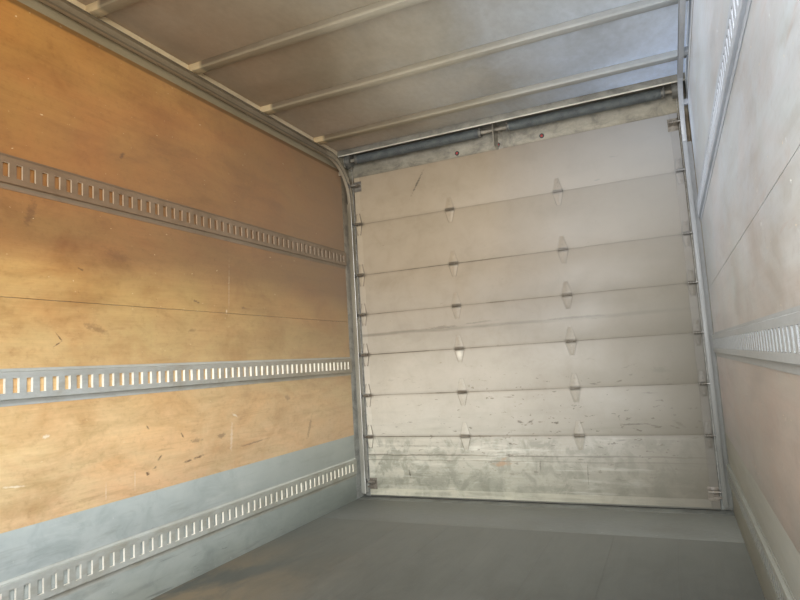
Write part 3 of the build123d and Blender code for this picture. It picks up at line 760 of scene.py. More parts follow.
def track_colour(made):
    """Painted highlight in patches on the front of the upright's lip; on the overhead stretch the lip is
    painted darker and the channel lighter, as painted shade and light, growing lighter and cooler towards the
    door; the right track is darker low down and pale and cool at the top, as painted shade and haze.
    """
    lip = made.between(made.aside(), 1.1588, 1.1566)
    front = made.along("Y", y_door - 0.0495, y_door - 0.0515)
    highlight_patches = made.between(made.noise(3.0, (0.2, 1, 1), 3.0, 0.6, 0.4), 0.4, 0.55, 0.5, 1.0)
    upright = made.ramp(made.along("Z", 0.3, 2.3), (0.0, 156, 155, 146),
                        (0.5, 143, 136, 120), (1.0, 128, 118, 99))
    upright = made.mix(made.times(lip, front, highlight_patches), upright, srgb(248, 246, 240))
    made.start(made.mix(lip, srgb(138, 120, 93), srgb(106, 93, 72)))
    made.shift(made.along("Y", 0.3, 1.6), 1.28, 1.42, 1.72)
    made.start(made.mix(made.along("Z", 2.30, 2.44), upright, made.now))
    right = made.ramp(made.along("Z", 0.3, 2.6), (0.0, 118, 118, 112),
                      (0.5, 127, 127, 125), (1.0, 168, 171, 176))
    made.cover(made.along("X", -0.1, 0.1), right)


def roof_rail_colour(made):
    """Olive on the left and pale and cool on the right as painted haze; the left rail is painted much lighter
    in the shaded gap over the track, and both sides grow lighter towards the door, the left one cooler, as
    painted light.
    """
    left = made.along("X", 0.1, -0.1)
    made.start(made.mix(left, srgb(190, 195, 202), srgb(146, 129, 98)))
    made.cover(made.times(left, made.along("Z", z_lining + 0.050, z_lining + 0.078)), 228, 205, 162)
    made.shift(made.times(left, made.along("Y", 0.2, 1.8)), 1.14, 1.26, 1.55)
    made.shift(made.times(made.between(left, 1.0, 0.0), made.along("Y", 0.9, 1.7)), 1.5, 1.5, 1.45)
    outside = made.most(made.between(made.aside(), wall_in + 0.006, wall_in + 0.010),
                        made.along("Z", z_bow_top + 0.001, z_bow_top + 0.002))
    made.cover(outside, 190, 192, 196)


def frame_colour(made):
    """Blotchy olive inside the body, plain grey paint outside, and a darker band painted as shade just over
    the door's top edge.
    """
    made.start(made.along("Z", 0.3, 2.8), (0.0, 140, 142, 136), (0.6, 140, 132, 118), (0.92, 118, 104, 84),
               (0.935, 150, 142, 124), (0.97, 140, 134, 120), (1.0, 116, 112, 102))
    blotches = made.noise(9.0, (1, 1, 1.5), 5.0, 0.66, 0.5)
    made.tint(blotches, (0.34, 0.64, 0.64, 0.65), PLAIN, (0.66, 1.2, 1.2, 1.19))
    made.cover(made.along("Z", z_floor + 0.001, z_floor - 0.001), 104, 105, 99)
    outside = made.most(made.along("Y", y_door + 0.046, y_door + 0.054),
                        made.between(made.aside(), wall_in + 0.020, wall_in + 0.024))
    made.cover(outside, 182, 184, 188)


def threshold_colour(made):
    """Painted light: paler towards the door, and paler still towards the right, to make up for the light
    falling off there.
    """
    made.start(made.along("Y", 1.35, 1.95), (0.0, 112, 114, 109), (1.0, 134, 136, 130))
    made.shift(made.along("X", 0.4, 1.15), 1.4, 1.4, 1.4)


rail_left_steel = aged("rail_steel_left", rail_colour_left)
rail_right_steel = aged("rail_steel_right", rail_colour_right)
slot_edge_painted_light = aged("slot_edge_painted_light", slot_colour_left, (0.3, 0.5))
slot_edge_shaded = aged("slot_edge_shaded", slot_colour_right, (0.45, 0.65))
bow_steel = aged("bow_steel", bow_colour, grain=(0.3, 1, 1))
track_steel = aged("track_steel", track_colour, (0.35, 0.55), 0.1, (1, 0.4, 0.4), 9.0)
frame_paint = aged("rear_frame_paint", frame_colour, (0.45, 0.65), 0.0, even, 5.0)
roof_rail_steel = aged("roof_rail_olive", roof_rail_colour)
threshold_paint = aged("threshold_paint", threshold_colour, (0.45, 0.65), 0.0, (0.5, 1, 1), 5.0)
put_on(rail_left_steel, "logistics_rails_left")
put_on(rail_right_steel, "logistics_rails_right")
put_on(bow_steel, "roof_bows")
put_on(track_steel, "door_track_right", "door_track_left")
put_on(frame_paint, "rear_sill", "rear_post_right", "rear_post_left", "rear_header")
put_on(roof_rail_steel, "roof_rails")
put_on(threshold_paint, "threshold_plate")

# %% [markdown]
# ## The scuff plate
# The lowest half metre of the wall is a steel plate, painted blue-grey. Pallets and boxes rub along
# it, so its marks run along the body: pale rubbed streaks, darker bands near the floor, and a few
# bare nicks. All are noises stretched along Y and kept faint, because the paint is still whole.

# %% Scuff plate finish
def scuff_finish():
    plate = Finish("scuff_plate")
    drift = plate.noise(2.4, (1, 0.6, 1.4), 4.0, 0.58, 0.5)
    cloud = plate.noise(7.5, (1, 0.7, 1.1), 5.0, 0.66, 0.6)
    rub = plate.noise(14.0, (1, 0.16, 1.2), 5.0, 0.62, 0.3)
    scrape = plate.noise(34.0, (1, 0.05, 1.0), 4.0, 0.62, 0.4)
    nick = plate.noise(55.0, (1, 0.2, 1.0), 3.0, 0.6)
    white = plate.noise(60.0, (1, 1, 0.4), 2.0, 0.5)
    height = plate.sums("ADD", plate.axis("Z"), plate.between(drift, 0.3, 0.7, -0.05, 0.05))
    plate.start(plate.between(height, 0.21, 0.67), (0.0, 158, 164, 157), (0.25, 178, 186, 182),
                (0.6, 176, 184, 183), (1.0, 182, 192, 191))
    plate.tint(drift, (0.3, 0.86, 0.88, 0.89), PLAIN, (0.72, 1.07, 1.06, 1.05))
    plate.tint(cloud, (0.32, 0.78, 0.80, 0.80), PLAIN, (0.7, 1.10, 1.09, 1.07))
    plate.cover(plate.between(rub, 0.58, 0.74, 0.0, 0.4), 214, 218, 212)
    plate.cover(plate.between(rub, 0.44, 0.28, 0.0, 0.45), 116, 119, 114)
    scraped = plate.times(plate.between(scrape, 0.60, 0.68), plate.along("Z", 0.50, 0.30, 0.15, 0.6))
    plate.cover(scraped, 104, 106, 102)
    plate.cover(plate.between(nick, 0.7, 0.75, 0.0, 0.6), 92, 90, 84)
    plate.cover(plate.between(white, 0.74, 0.78, 0.0, 0.7), 232, 234, 230)
    plate.cover(plate.along("Y", -0.4, 1.4, 0.0, 0.72),
                plate.ramp(plate.along("Z", 0.3, 0.6), (0.0, 140, 147, 140), (1.0, 166, 170, 160)))
    right = plate.along("X", 0.9, 1.0, 0.0, 0.9)
    plate.cover(right, plate.ramp(plate.along("Z", 0.21, 0.67), (0.0, 150, 150, 139), (1.0, 146, 144, 133)))
    # Painted light: the right plate is lighter towards the door.
    plate.shift(plate.times(right, plate.along("Y", 0.6, 1.9)), 1.35, 1.34, 1.34)
    return plate.ready(plate.between(rub, 0.3, 0.7, 0.62, 0.45),
                       (plate.between(nick, 0.7, 0.75, 1.0, 0.0), 0.0005, 0.6), (drift, 0.004, 0.25))


scuff_paint = scuff_finish()
put_on(scuff_paint, "scuff_plates")

# %% [markdown]
# ## The floor
# The floor is laminated hardwood, gone an even dark grey with rubber and dirt, so its boards hardly
# show. Shoes and trolleys leave long faint lanes, and brown dust gathers at the near left.

# %% Floor finish
def floor_boards_finish():
    boards = Finish("worn_floor")
    lane = boards.noise(1.3, (1.2, 0.35, 1), 4.0, 0.55, 0.5)
    patch = boards.noise(2.6, (1, 0.6, 1), 5.0, 0.65, 0.9)
    worn = boards.noise(7.0, (1, 0.45, 1), 6.0, 0.68, 0.8)
    grain = boards.noise(26.0, (1.6, 0.08, 1), 5.0, 0.62)
    grit = boards.noise(120.0, (1, 0.5, 1), 4.0, 0.75)
    boards.start(lane, (0.3, 84, 87, 81), (0.5, 93, 95, 89), (0.72, 103, 104, 97))
    boards.tint(worn, (0.32, 0.84, 0.84, 0.83), PLAIN, (0.68, 1.10, 1.10, 1.09))
    boards.cover(boards.between(grain, 0.45, 0.72, 0.0, 0.3), 78, 79, 74)
    boards.cover(boards.between(grit, 0.58, 0.78, 0.0, 0.3), 134, 130, 116)
    near_left = boards.times(boards.along("X", -0.45, -1.05), boards.along("Y", 1.2, 0.2))
    boards.cover(boards.times(near_left, boards.between(patch, 0.42, 0.62, 0.0, 0.7)), 150, 132, 104)
    # Painted light: the floor is paler towards the door, darker near the right and lighter in the far right
    # corner.
    boards.cover(boards.along("Y", 0.6, 2.1, 0.0, 0.75), 134, 136, 129)
    near_right = boards.times(boards.along("X", 0.3, 1.1), boards.along("Y", 1.1, 0.3))
    boards.shift(near_right, 0.70, 0.72, 0.75)
    far_corner = boards.times(boards.along("X", 0.5, 1.15), boards.along("Y", 1.1, 1.9))
    boards.shift(far_corner, 1.5, 1.5, 1.5)
    return boards.ready(boards.between(lane, 0.3, 0.7, 0.5, 0.7), (grit, 0.0004, 0.4), (grain, 0.0006, 0.35))


worn_floor = floor_boards_finish()
put_on(worn_floor, "floor_boards")

# %% [markdown]
# ## The painted door
# The door panels are cream paint on plywood. Seen close, the paint is browner at the top, pale in
# the middle where it gets wiped, and grey-green with grime on the lowest panel. Dirt draws a thin
# line at each joint and round each hinge, so the finish measures how far a point is from the nearest
# joint and from the outline of the nearest hinge leaf. Three long rub lines run across the door at
# the heights of pallets and load beams. They are thin bands that a stretched noise breaks up. Short
# strokes, smears and one rusty patch are listed one by one, as on the plywood.

# %% Door finish
hinge_columns = (-0.382, 0.382)
edge_column = door_half - 0.021
hinge_joints = z_joints[:-1]
z_strip = z_door_base + 0.015

# Marks on the door: (x, z) of the centre, angle, length, width, strength.
door_scratches = [
    ((-0.616, 2.486), 58, 0.220, 0.018, 0.8), ((0.636, 2.276), 10, 0.045, 0.014, 0.5),
    ((0.747, 2.411), -6, 0.080, 0.010, 0.45), ((0.006, 0.734), -19, 0.050, 0.016, 0.7),
    ((0.076, 0.736), 29, 0.050, 0.020, 0.75), ((0.142, 0.732), -1, 0.045, 0.014, 0.6),
    ((-0.341, 0.698), -34, 0.036, 0.020, 0.6), ((-0.818, 0.378), -78, 0.070, 0.014, 0.85),
    ((0.655, 0.978), 14, 0.055, 0.014, 0.7), ((0.816, 0.898), -2, 0.105, 0.012, 0.6),
    ((0.720, 0.711), 2, 0.180, 0.016, 0.7), ((0.830, 0.700), -16, 0.110, 0.014, 0.55),
    ((0.968, 0.712), -34, 0.090, 0.020, 0.5), ((0.495, 0.967), -8, 0.075, 0.010, 0.6),
    ((0.414, 0.401), 88, 0.180, 0.008, 0.6), ((0.118, 0.449), 84, 0.080, 0.012, 0.55),
    ((-0.059, 0.900), -2, 0.110, 0.010, 0.45), ((0.636, 0.612), 6, 0.070, 0.009, 0.5),
    ((-0.745, 0.575), 0, 0.700, 0.010, 0.35), ((-0.497, 1.407), 0, 0.220, 0.022, 0.4),
    ((-0.210, 1.420), 2, 0.260, 0.014, 0.35), ((0.420, 1.398), 0, 0.420, 0.016, 0.4),
]
door_grime = [
    ((-0.631, 0.341), 1, 0.460, 0.130, 0.46), ((0.588, 0.347), 2, 0.180, 0.100, 0.37),
    ((0.150, 0.305), 0, 0.340, 0.060, 0.37), ((-0.930, 0.330), 0, 0.220, 0.100, 0.31),
    ((0.897, 1.035), -3, 0.120, 0.036, 0.45), ((-0.200, 0.330), 0, 0.260, 0.110, 0.35),
    ((0.980, 0.450), 80, 0.300, 0.120, 0.35),
]
rusty_smear = [((-0.135, 0.461), 4, 0.150, 0.044, 0.55), ((-0.120, 0.492), 20, 0.050, 0.022, 0.4)]


def hinge_ring(paint, joint_far, column, half, tip, length):
    """Dirt along the outline of the hinge leaves that stand at this column."""
    outline = paint.between(joint_far, 0.014, length, half, tip)
    ring = paint.between(paint.far(paint.far(paint.aside(), column), outline), 0.008, 0.002)
    return paint.times(ring, paint.between(joint_far, length + 0.012, length))


def barrel_smudge(paint, joint_far, film):
    """Old grease, spread on the door round each hinge's barrel."""
    columns = [paint.far(paint.aside(), column) for column in (hinge_columns[1], edge_column)]
    near = paint.sums("MINIMUM", *columns)
    return paint.times(paint.between(near, 0.052, 0.030), paint.between(joint_far, 0.020, 0.006),
                       paint.between(film, 0.34, 0.62, 0.85, 0.4))


def rub_line(paint, z, half, wobble, broken):
    height = paint.sums("ADD", paint.axis("Z"), paint.between(wobble, 0.3, 0.7, -0.006, 0.006))
    return paint.times(paint.between(paint.far(height, z), half, half * 0.3), broken)


def door_base(paint):
    """Start with the cream by height, before any dirt, with slow clouds in it; the left side is painted
    lighter as light, and a patch right of the middle darker as shade.
    """
    cloud = paint.noise(1.4, (1, 1, 1.3), 4.0, 0.55, 0.6)
    drifted = paint.sums("ADD", paint.axis("Z"), paint.between(cloud, 0.25, 0.75, -0.12, 0.12))
    paint.start(paint.between(drifted, z_floor, 2.62), (0.0, 190, 187, 170), (0.09, 192, 188, 172),
                (0.2, 191, 185, 171), (0.36, 182, 174, 159), (0.5, 162, 152, 136), (0.66, 160, 145, 123),
                (0.85, 164, 148, 124), (1.0, 165, 148, 124))
    # Painted light: the left side of the door is lighter; painted shade: a broad patch right of the middle,
    # higher up, is darker.
    paint.tint(paint.along("X", -1.1, 1.1), (0.0, 1.20, 1.20, 1.20), (0.25, 1, 1, 1),
               (0.75, 0.97, 0.97, 0.97))
    shaded_middle = paint.times(paint.between(paint.far(paint.axis("X"), 0.28), 0.82, 0.2),
                          paint.along("Z", 1.1, 1.5, 0.35, 1.0))
    paint.shift(shaded_middle, 0.74, 0.74, 0.75)
    return cloud


def door_shade(paint):
    """Painted shade and haze: the right side is darker low down and pale and cool near the top, and the right
    edge cap is darker.
    """
    right = paint.along("X", -0.1, 1.12)
    paint.cover(paint.times(right, paint.along("Z", 2.3, 1.2, 0.34, 0.94)), 106, 101, 89)
    paint.cover(paint.times(right, paint.along("Z", 1.5, 2.5, 0.0, 0.72)), 158, 160, 162)
    paint.shift(paint.along("X", door_half - 0.0475, door_half - 0.0455), 0.80, 0.80, 0.81)


def door_dirt(paint, film, scuff, smudge, torn):
    """Grime that gathers low on the door, with the listed smears."""
    low = paint.along("Z", 1.0, 0.5)
    paint.cover(paint.times(low, paint.between(scuff, 0.5, 0.68, 0.0, 0.35)), 140, 138, 122)
    lowest = paint.along("Z", 0.66, 0.60)
    paint.cover(paint.times(lowest, paint.between(smudge, 0.46, 0.58, 0.0, 0.62)), 134, 134, 118)
    paint.cover(paint.times(lowest, paint.between(scuff, 0.44, 0.34, 0.0, 0.55)), 224, 222, 208)
    splashed = paint.times(paint.along("Z", 0.50, 0.30, 0.0, 0.5), paint.between(film, 0.40, 0.58))
    paint.cover(splashed, 124, 125, 110)
    front = paint.flat("X", "Z")
    paint.cover(paint.marks(front, door_grime, torn), 126, 127, 112)
    paint.cover(paint.marks(front, rusty_smear, torn), 176, 134, 96)
    bottom_strip = paint.along("Z", z_strip + 0.001, z_strip - 0.001)
    paint.cover(paint.times(bottom_strip, paint.between(scuff, 0.34, 0.6, 0.9, 0.1)), 190, 186, 164)


def joint_dirt(paint, film):
    """A thin dark line at each joint, and an outline round each hinge."""
    joint_far = paint.nearest("Z", hinge_joints)
    paint.cover(paint.between(joint_far, 0.020, 0.002, 0.0, 0.22), 128, 116, 96)
    seam = paint.times(paint.between(joint_far, 0.0050, 0.0015), paint.between(film, 0.40, 0.60, 0.85, 0.25),
                       paint.along("X", -0.2, 1.0, 1.0, 0.5), paint.along("Z", 2.2, 2.1, 0.35, 1.0))
    paint.cover(seam, 92, 80, 62)
    below = paint.between(paint.nearest("Z", [z - 0.045 for z in hinge_joints]), 0.048, 0.042, 0.35, 1.0)
    centre_ring = paint.times(hinge_ring(paint, joint_far, hinge_columns[1], 0.0325, 0.012, 0.091),
                              paint.between(film, 0.35, 0.6, 0.62, 0.25), below)
    edge_ring = paint.times(hinge_ring(paint, joint_far, edge_column, 0.023, 0.012, 0.078),
                            paint.between(film, 0.35, 0.6, 0.95, 0.55))
    paint.cover(paint.most(centre_ring, edge_ring), 92, 82, 66)
    paint.cover(barrel_smudge(paint, joint_far, film), 96, 84, 68)


def door_wear(paint, film, scuff, torn):
    """Long rub lines, listed strokes and small flecks."""
    broken = paint.between(scuff, 0.36, 0.52, 0.35, 1.0)
    lines = [rub_line(paint, z, half, film, paint.times(broken, strength))
             for z, half, strength in ((0.510, 0.0065, 1.0), (0.475, 0.005, 0.6), (1.392, 0.016, 0.7))]
    paint.cover(paint.times(paint.most(*lines), 0.72), 104, 98, 84)
    paint.cover(paint.marks(paint.flat("X", "Z"), door_scratches, torn), 88, 80, 66)
    fleck = paint.noise(36.0, (0.45, 1, 1.1), 3.0, 0.62, 0.3)
    busy = paint.times(paint.between(paint.far(paint.axis("Z"), 0.72), 0.46, 0.16, 0.0, 0.8),
                       paint.along("X", -0.75, 0.1, 0.4, 1.0))
    paint.cover(paint.times(busy, paint.between(fleck, 0.64, 0.675)), 92, 84, 68)
    paint.cover(paint.between(fleck, 0.72, 0.76, 0.0, 0.45), 112, 98, 78)


def door_finish(name):
    paint = Finish(name)
    cloud = door_base(paint)
    film = paint.noise(5.5, (0.6, 1, 1.3), 5.0, 0.62, 0.4)
    scuff = paint.noise(13.0, (0.13, 1, 1.7), 5.0, 0.68, 0.2)
    smudge = paint.noise(9.0, (1, 1, 0.8), 6.0, 0.68, 0.5)
    nick = paint.noise(60.0, (0.3, 1, 1.2), 3.0, 0.6)
    torn = paint.between(paint.noise(60.0, (0.5, 1, 1.5), 3.0, 0.7), 0.3, 0.7, -0.5, 0.5)
    paint.tint(film, (0.3, 0.92, 0.92, 0.91), PLAIN, (0.7, 1.03, 1.03, 1.04))
    paint.tint(smudge, (0.3, 0.93, 0.92, 0.90), PLAIN, (0.7, 1.03, 1.03, 1.03))
    door_dirt(paint, film, scuff, smudge, torn)
    joint_dirt(paint, film)
    door_wear(paint, film, scuff, torn)
    paint.cover(paint.between(nick, 0.72, 0.77, 0.0, 0.4), 120, 106, 84)
    door_shade(paint)
    outside = paint.ramp(film, (0.3, 204, 202, 192), (0.6, 222, 221, 214))
    paint.cover(paint.along("Y", y_door + 0.016, y_door + 0.018), outside)
    return paint.ready(paint.between(cloud, 0.3, 0.7, 0.45, 0.62), (cloud, 0.005, 0.2),
                       (paint.between(nick, 0.72, 0.77, 1.0, 0.0), 0.0005, 0.5))


cream = door_finish("door_cream")
put_on(cream, "door_edge_caps", *[f"door_panel_{n}" for n in range(1, 8)])

# %% [markdown]
# ## Roof, outer walls, rubber and lenses
# The roof sheet is plain matt aluminium. Its brown on the left is painted light thrown back from the
# plywood, and its pale, cool tone on the right and towards the door is painted haze. The outer walls
# are white paint with faint rain streaks, and dust lies along the laps of the sheets and down each row
# of rivets. Rubber is black with a dusty bloom, and the lenses are clear coloured plastic with fine
# ribs, which are bumps across them.

# %% Roof and outer skin
def roof_colour(made):
    blotch = made.noise(1.8, (1, 0.8, 1), 4.0, 0.6, 0.8)
    across = made.sums("ADD", made.axis("X"), made.between(blotch, 0.3, 0.7, -0.18, 0.18))
    # Painted light: brown on the left, thrown back from the plywood, pale and cool on the right, and lighter
    # and cooler towards the door as painted haze.
    made.start(made.between(across, -1.2, 1.2), (0.0, 156, 134, 108), (0.3, 152, 139, 117),
               (0.55, 138, 132, 119), (0.78, 161, 164, 166), (1.0, 202, 209, 218))
    made.shift(made.along("Y", 0.9, 2.0), 1.28, 1.40, 1.66)
    made.cover(made.along("Z", z_bow_top + 0.001, z_bow_top + 0.002), 206, 208, 210)


def painted_skin(name):
    """White paint, with dust along the edges of the laps and down the rows of rivets."""
    made = Finish(name)
    streak = made.noise(2.0, (1, 1, 0.15), 5.0, 0.6, 0.3)
    fine = made.noise(28.0, (1, 1, 0.15), 4.0, 0.7)
    dust = made.between(fine, 0.35, 0.65, 0.5, 1.0)
    made.start(streak, (0.28, 213, 213, 209), (0.5, 228, 229, 230), (0.74, 234, 235, 236))
    row_far = made.sums("MINIMUM", made.nearest("Y", post_places), made.nearest("X", front_posts))
    made.cover(made.times(made.between(row_far, 0.014, 0.004, 0.0, 0.30), dust), 158, 158, 154)
    edge_far = made.far(made.nearest("Y", lap_places), 0.018)
    made.cover(made.times(made.between(edge_far, 0.005, 0.001, 0.0, 0.6), dust), 120, 120, 116)
    return made.ready(made.between(streak, 0.3, 0.7, 0.25, 0.4), (fine, 0.0002, 0.5))


def seal_colour(made):
    """The seals' inner side is grey with dust."""
    inside = made.along("Y", y_door + 0.004, y_door + 0.002, 0.0, 0.85)
    made.start(made.mix(inside, srgb(46, 46, 45), srgb(112, 111, 102)))


def lens(name, colour, deep):
    made = Finish(name)
    rib = made.node("ShaderNodeTexWave", bands_direction="DIAGONAL")
    made.feed(rib.inputs["Vector"], made.stretched((1, 1, 0)))
    rib.inputs["Scale"].default_value = 90.0
    made.start(made.mix(made.noise(40.0), srgb(*colour), srgb(*deep)))
    return made.ready(0.12, (rib.outputs["Fac"], 0.0006, 0.6))


white_skin = painted_skin("white_skin")
seal_black = steel("seal_rubber", (44, 44, 44), (28, 28, 28), (76, 74, 70), (0.6, 0.8))
bumper_black = steel("bumper_rubber", (40, 40, 40), (24, 24, 24), (84, 80, 76), (0.6, 0.85), 0.0, 0.5, 0.5)
seal_dusty = aged("seal_dusty", seal_colour, (0.6, 0.8), 0.0, even, 9.0)
put_on(aged("roof_sheet_metal", roof_colour, (0.5, 0.7), 0.1, (1, 0.6, 1), 2.6), "roof_sheet")
put_on(white_skin, "side_wall_right", "side_wall_left", "front_wall")
put_on(seal_dusty, "door_seals")
put_on(bumper_black, "dock_bumpers")
lamp_lenses = [
    # node, record's slot and name of the finish, its colour and the deeper one
    ("red_lamps", "red_lens", (206, 24, 22), (160, 14, 14)),
    ("reversing_lamps", "clear_lens", (232, 234, 238), (206, 210, 216)),
    ("amber_lamps", "amber_lens", (240, 140, 24), (212, 104, 12)),
]
for node, slot, colour, deep in lamp_lenses:
    put_on(lens(slot, colour, deep), node)

# %% [markdown]
# ## The slotted rails
# Six steel rails run along the walls, three a side. Straps and beams hook into their slots, which
# stand two inches apart. Each rail is a flat band pressed out of a wider strip, and each slot has
# its edge turned back towards the wall, which stiffens it. Light from the front catches the far
# edge of every slot, and the plywood shows through the rest.
#
# We model one pitch of the rail, with one slot, and repeat it. A grid of three by three faces is
# stretched so that its middle face is the slot. That face is extruded back to make the turned edge,
# drawn in a little, and deleted. The edges of the module are extruded to make the step down to the
# strip, with its upper and lower rim.

# %% One pitch of rail, repeated
slot_pitch = 0.0508
slot_along, slot_up = 0.012, 0.027
band_half = 0.048
rim_top, rim_base = 0.062, -0.072
# The band's edge folds back a little, then slopes down to the rim over the height of a step.
fold = 0.0018
step = 0.003
rail_rows = [
    # name, y of the last slot, depth of the turned edges
    ("low", y_door - 0.164, 0.0095),
    ("middle", y_door - 0.157, 0.0118),
    ("high", y_door - 0.149, 0.0070),
]
rail_start = y_lining + 0.205
x_strip = wall_in - 0.0002
x_rim = wall_in - 0.0025
x_band = wall_in - 0.013
x_fold = x_band + fold


def rail_module(z, y, deep):
    """One pitch of the left wall's rail, with its slot at y, facing +X."""
    across = [-slot_pitch / 2, -slot_along, slot_along, slot_pitch / 2]
    heights = [-band_half, -slot_up, slot_up, band_half]
    clear()
    bpy.ops.mesh.primitive_grid_add(x_subdivisions=3, y_subdivisions=3, size=1)
    piece = named("rail_module")
    for vertex in piece.data.vertices:
        column = round((vertex.co.x + 0.5) * 3)
        row = round((vertex.co.y + 0.5) * 3)
        vertex.co = (-x_band, y - across[column], z + heights[row])
    pick_faces(piece, lambda centre, normal: abs(centre.y - y) < 0.005 and abs(centre.z - z) < 0.005)
    extrude(-0.0020, 0, 0)
    bpy.ops.transform.resize(value=(1, 0.92, 0.97))
    extrude(0.0020 - deep, 0, 0)
    bpy.ops.mesh.delete(type="FACE")
    leave()
    for edge_z, rim in ((band_half, rim_top), (-band_half, rim_base)):
        edit(piece, "DESELECT", "EDGE")
        leave()
        for edge in piece.data.edges:
            ends = [piece.data.vertices[index].co for index in edge.vertices]
            edge.select = all(abs(end.z - (z + edge_z)) < 1e-5 and abs(end.x + x_band) < 1e-5 for end in ends)
        bpy.ops.object.mode_set(mode="EDIT")
        turn = math.copysign(step, edge_z)
        extrude(x_band - x_fold, 0, turn * 0.6)
        extrude(x_fold - x_rim, 0, turn * 0.4)
        extrude(0, 0, rim - edge_z - turn)
        extrude(x_rim - x_strip, 0, 0)
        leave()
    return piece


def slotted_rail(side, row, z, last_slot, deep):
    """Slots from end to end, and a plain stretch of the same profile before and after them."""
    count = int((last_slot - rail_start) / slot_pitch)
    first = last_slot - (count - 1) * slot_pitch
    piece = repeated(rail_module(z, first, deep), count, (0, slot_pitch, 0))
    piece.data.flip_normals()
    profile = [(x_strip, rim_base), (x_rim, rim_base), (x_rim, -band_half - step),
               (x_fold, -band_half - fold), (x_band, -band_half), (x_band, band_half),
               (x_fold, band_half + fold), (x_rim, band_half + step), (x_rim, rim_top), (x_strip, rim_top)]
    plain = []
    for start, stop in ((rail_start, first - slot_pitch / 2), (last_slot + slot_pitch / 2, y_post)):
        plain.append(bar("rail_end", [(-x, start, z + up) for x, up in profile], (0, stop - start, 0)))
    piece = joined(f"rail_{side}_{row}", [piece] + plain)
    edit(piece)
    bpy.ops.mesh.remove_doubles(threshold=0.00005)
    leave()
    if side == "right":
        turned_over(piece)
    return smooth(piece, 30)


rail_finishes = {"left": (rail_left_steel, slot_edge_painted_light), "right": (rail_right_steel, slot_edge_shaded)}
for side, (band, edge) in rail_finishes.items():
    for row, last_slot, deep in rail_rows:
        z_row = z_floor + rail_heights[row]
        rail = slotted_rail(side, row, z_row, last_slot, deep)
        finished(rail, band, [f"logistics_rails_{side}"], edge,
                 lambda centre, normal: abs(centre.x) > x_band + 0.0004 and abs(centre.z - z_row) < 0.03)

# %% [markdown]
# ## Bolts and rivets
# Bolts and rivets hold everything here, and they all look alike. We model one of each, standing on
# the origin and pointing up, and turn a copy of it to every place. A rivet is a low dome with few
# faces, since there are hundreds. A bolt is a six-sided head on a thin washer.

# %% One bolt, one rivet, many copies
def turned_by(degrees, axis):
    return Matrix.Rotation(math.radians(degrees), 4, axis)


TURN_TO = {"-Y": turned_by(90, "X"), "+Y": turned_by(-90, "X"), "+X": turned_by(90, "Y"),
           "-X": turned_by(-90, "Y"), "+Z": Matrix.Identity(4), "-Z": turned_by(180, "X")}


def bolt_head(radius=0.0065, height=0.004):
    washer = rod("washer", "Z", radius * 1.5, 0.0014, (0, 0, 0.0007), 16)
    head = rod("head", "Z", radius * 1.12, height, (0, 0, 0.0014 + height / 2), 6)
    soften(head, radius * 0.12, 1)
    return joined("bolt", [washer, head])


def rivet_head(radius=0.006, height=0.0028, sides=8):
    clear()
    bpy.ops.mesh.primitive_circle_add(vertices=sides, radius=radius, fill_type="NGON")
    dome = named("rivet")
    edit(dome)
    for rise, narrowed in ((0.7, 0.72), (0.3, 0.4)):
        extrude(0, 0, height * rise)
        bpy.ops.transform.resize(value=(narrowed, narrowed, 1))
    leave()
    pick_faces(dome, lambda centre, normal: abs(centre.z) < 1e-6)
    bpy.ops.mesh.delete(type="FACE")
    leave()
    return smooth(mend_normals(dome), 50)


def set_out(name, source, places):
    """One object of many copies: each place is a point and the way it faces."""
    copies = [moved(copied(source, "copy"), Matrix.Translation(point) @ TURN_TO[facing])
              for point, facing in places]
    bpy.data.objects.remove(source)
    return joined(name, copies)


def screws(radius, height, places):
    """Small bolt heads that face the front of the body."""
    return set_out("screws", bolt_head(radius, height), [(place, "-Y") for place in places])


# %% [markdown]
# ## Hinges in the middle of the door
# Each joint of the door has two hinges near its middle. Their leaves are pressed to a point above
# and below, and roll round a pin into three knuckles. The door was painted with its hinges on, so
# the leaves have its cream, and only the knuckles are brown with old grease. The leaf is an outline
# extruded by its thickness and softened; the knuckles are short rods.

# %% Centre hinges
def leaf_outline(x, z, half, tip, shoulder, length, y):
    return [(x - tip, y, z - length), (x + tip, y, z - length), (x + half, y, z - shoulder),
            (x + half, y, z + shoulder), (x + tip, y, z + length), (x - tip, y, z + length),
            (x - half, y, z + shoulder), (x - half, y, z - shoulder)]


def knuckle(radius, low, high, y, z, sides, rounding):
    """One turn of a hinge leaf round its pin, from low to high along X."""
    return soften(rod("knuckle", "X", radius, high - low, ((low + high) / 2, y, z), sides), rounding, 1)


def centre_hinge():
    """A hinge whose pin is at x = 0, z = 0, with its back at y = 0."""
    leaf_thickness = 0.003
    leaf = bar("leaf", leaf_outline(0, 0, 0.0315, 0.011, 0.014, 0.090, 0), (0, -leaf_thickness, 0))
    taper = ((-0.004, -0.078), (0.004, -0.078), (0.007, -0.012), (-0.007, -0.012))
    ridge = bar("ridge", [(x, -leaf_thickness, z) for x, z in taper], (0, -0.0012, 0))
    parts = [soften(leaf, 0.0012, 2), soften(ridge, 0.0008, 1)]
    for low, high in ((-0.031, -0.0125), (-0.0115, 0.0115), (0.0125, 0.031)):
        parts.append(knuckle(0.0072, low, high, -0.0082, 0, 16, 0.001))
    parts.append(rod("pin", "X", 0.0032, 0.066, (0, -0.0082, 0), 10))
    parts.append(screws(0.0042, 0.003, [(0, -leaf_thickness, z) for z in (-0.066, -0.034, 0.034, 0.066)]))
    return smooth(joined("hinge", parts), 40)


def hinges_everywhere():
    source = centre_hinge()
    copies = [copied(source, "hinge_copy", (x, y_door, z)) for z in hinge_joints for x in hinge_columns]
    bpy.data.objects.remove(source)
    return joined("centre_hinge_set", copies)


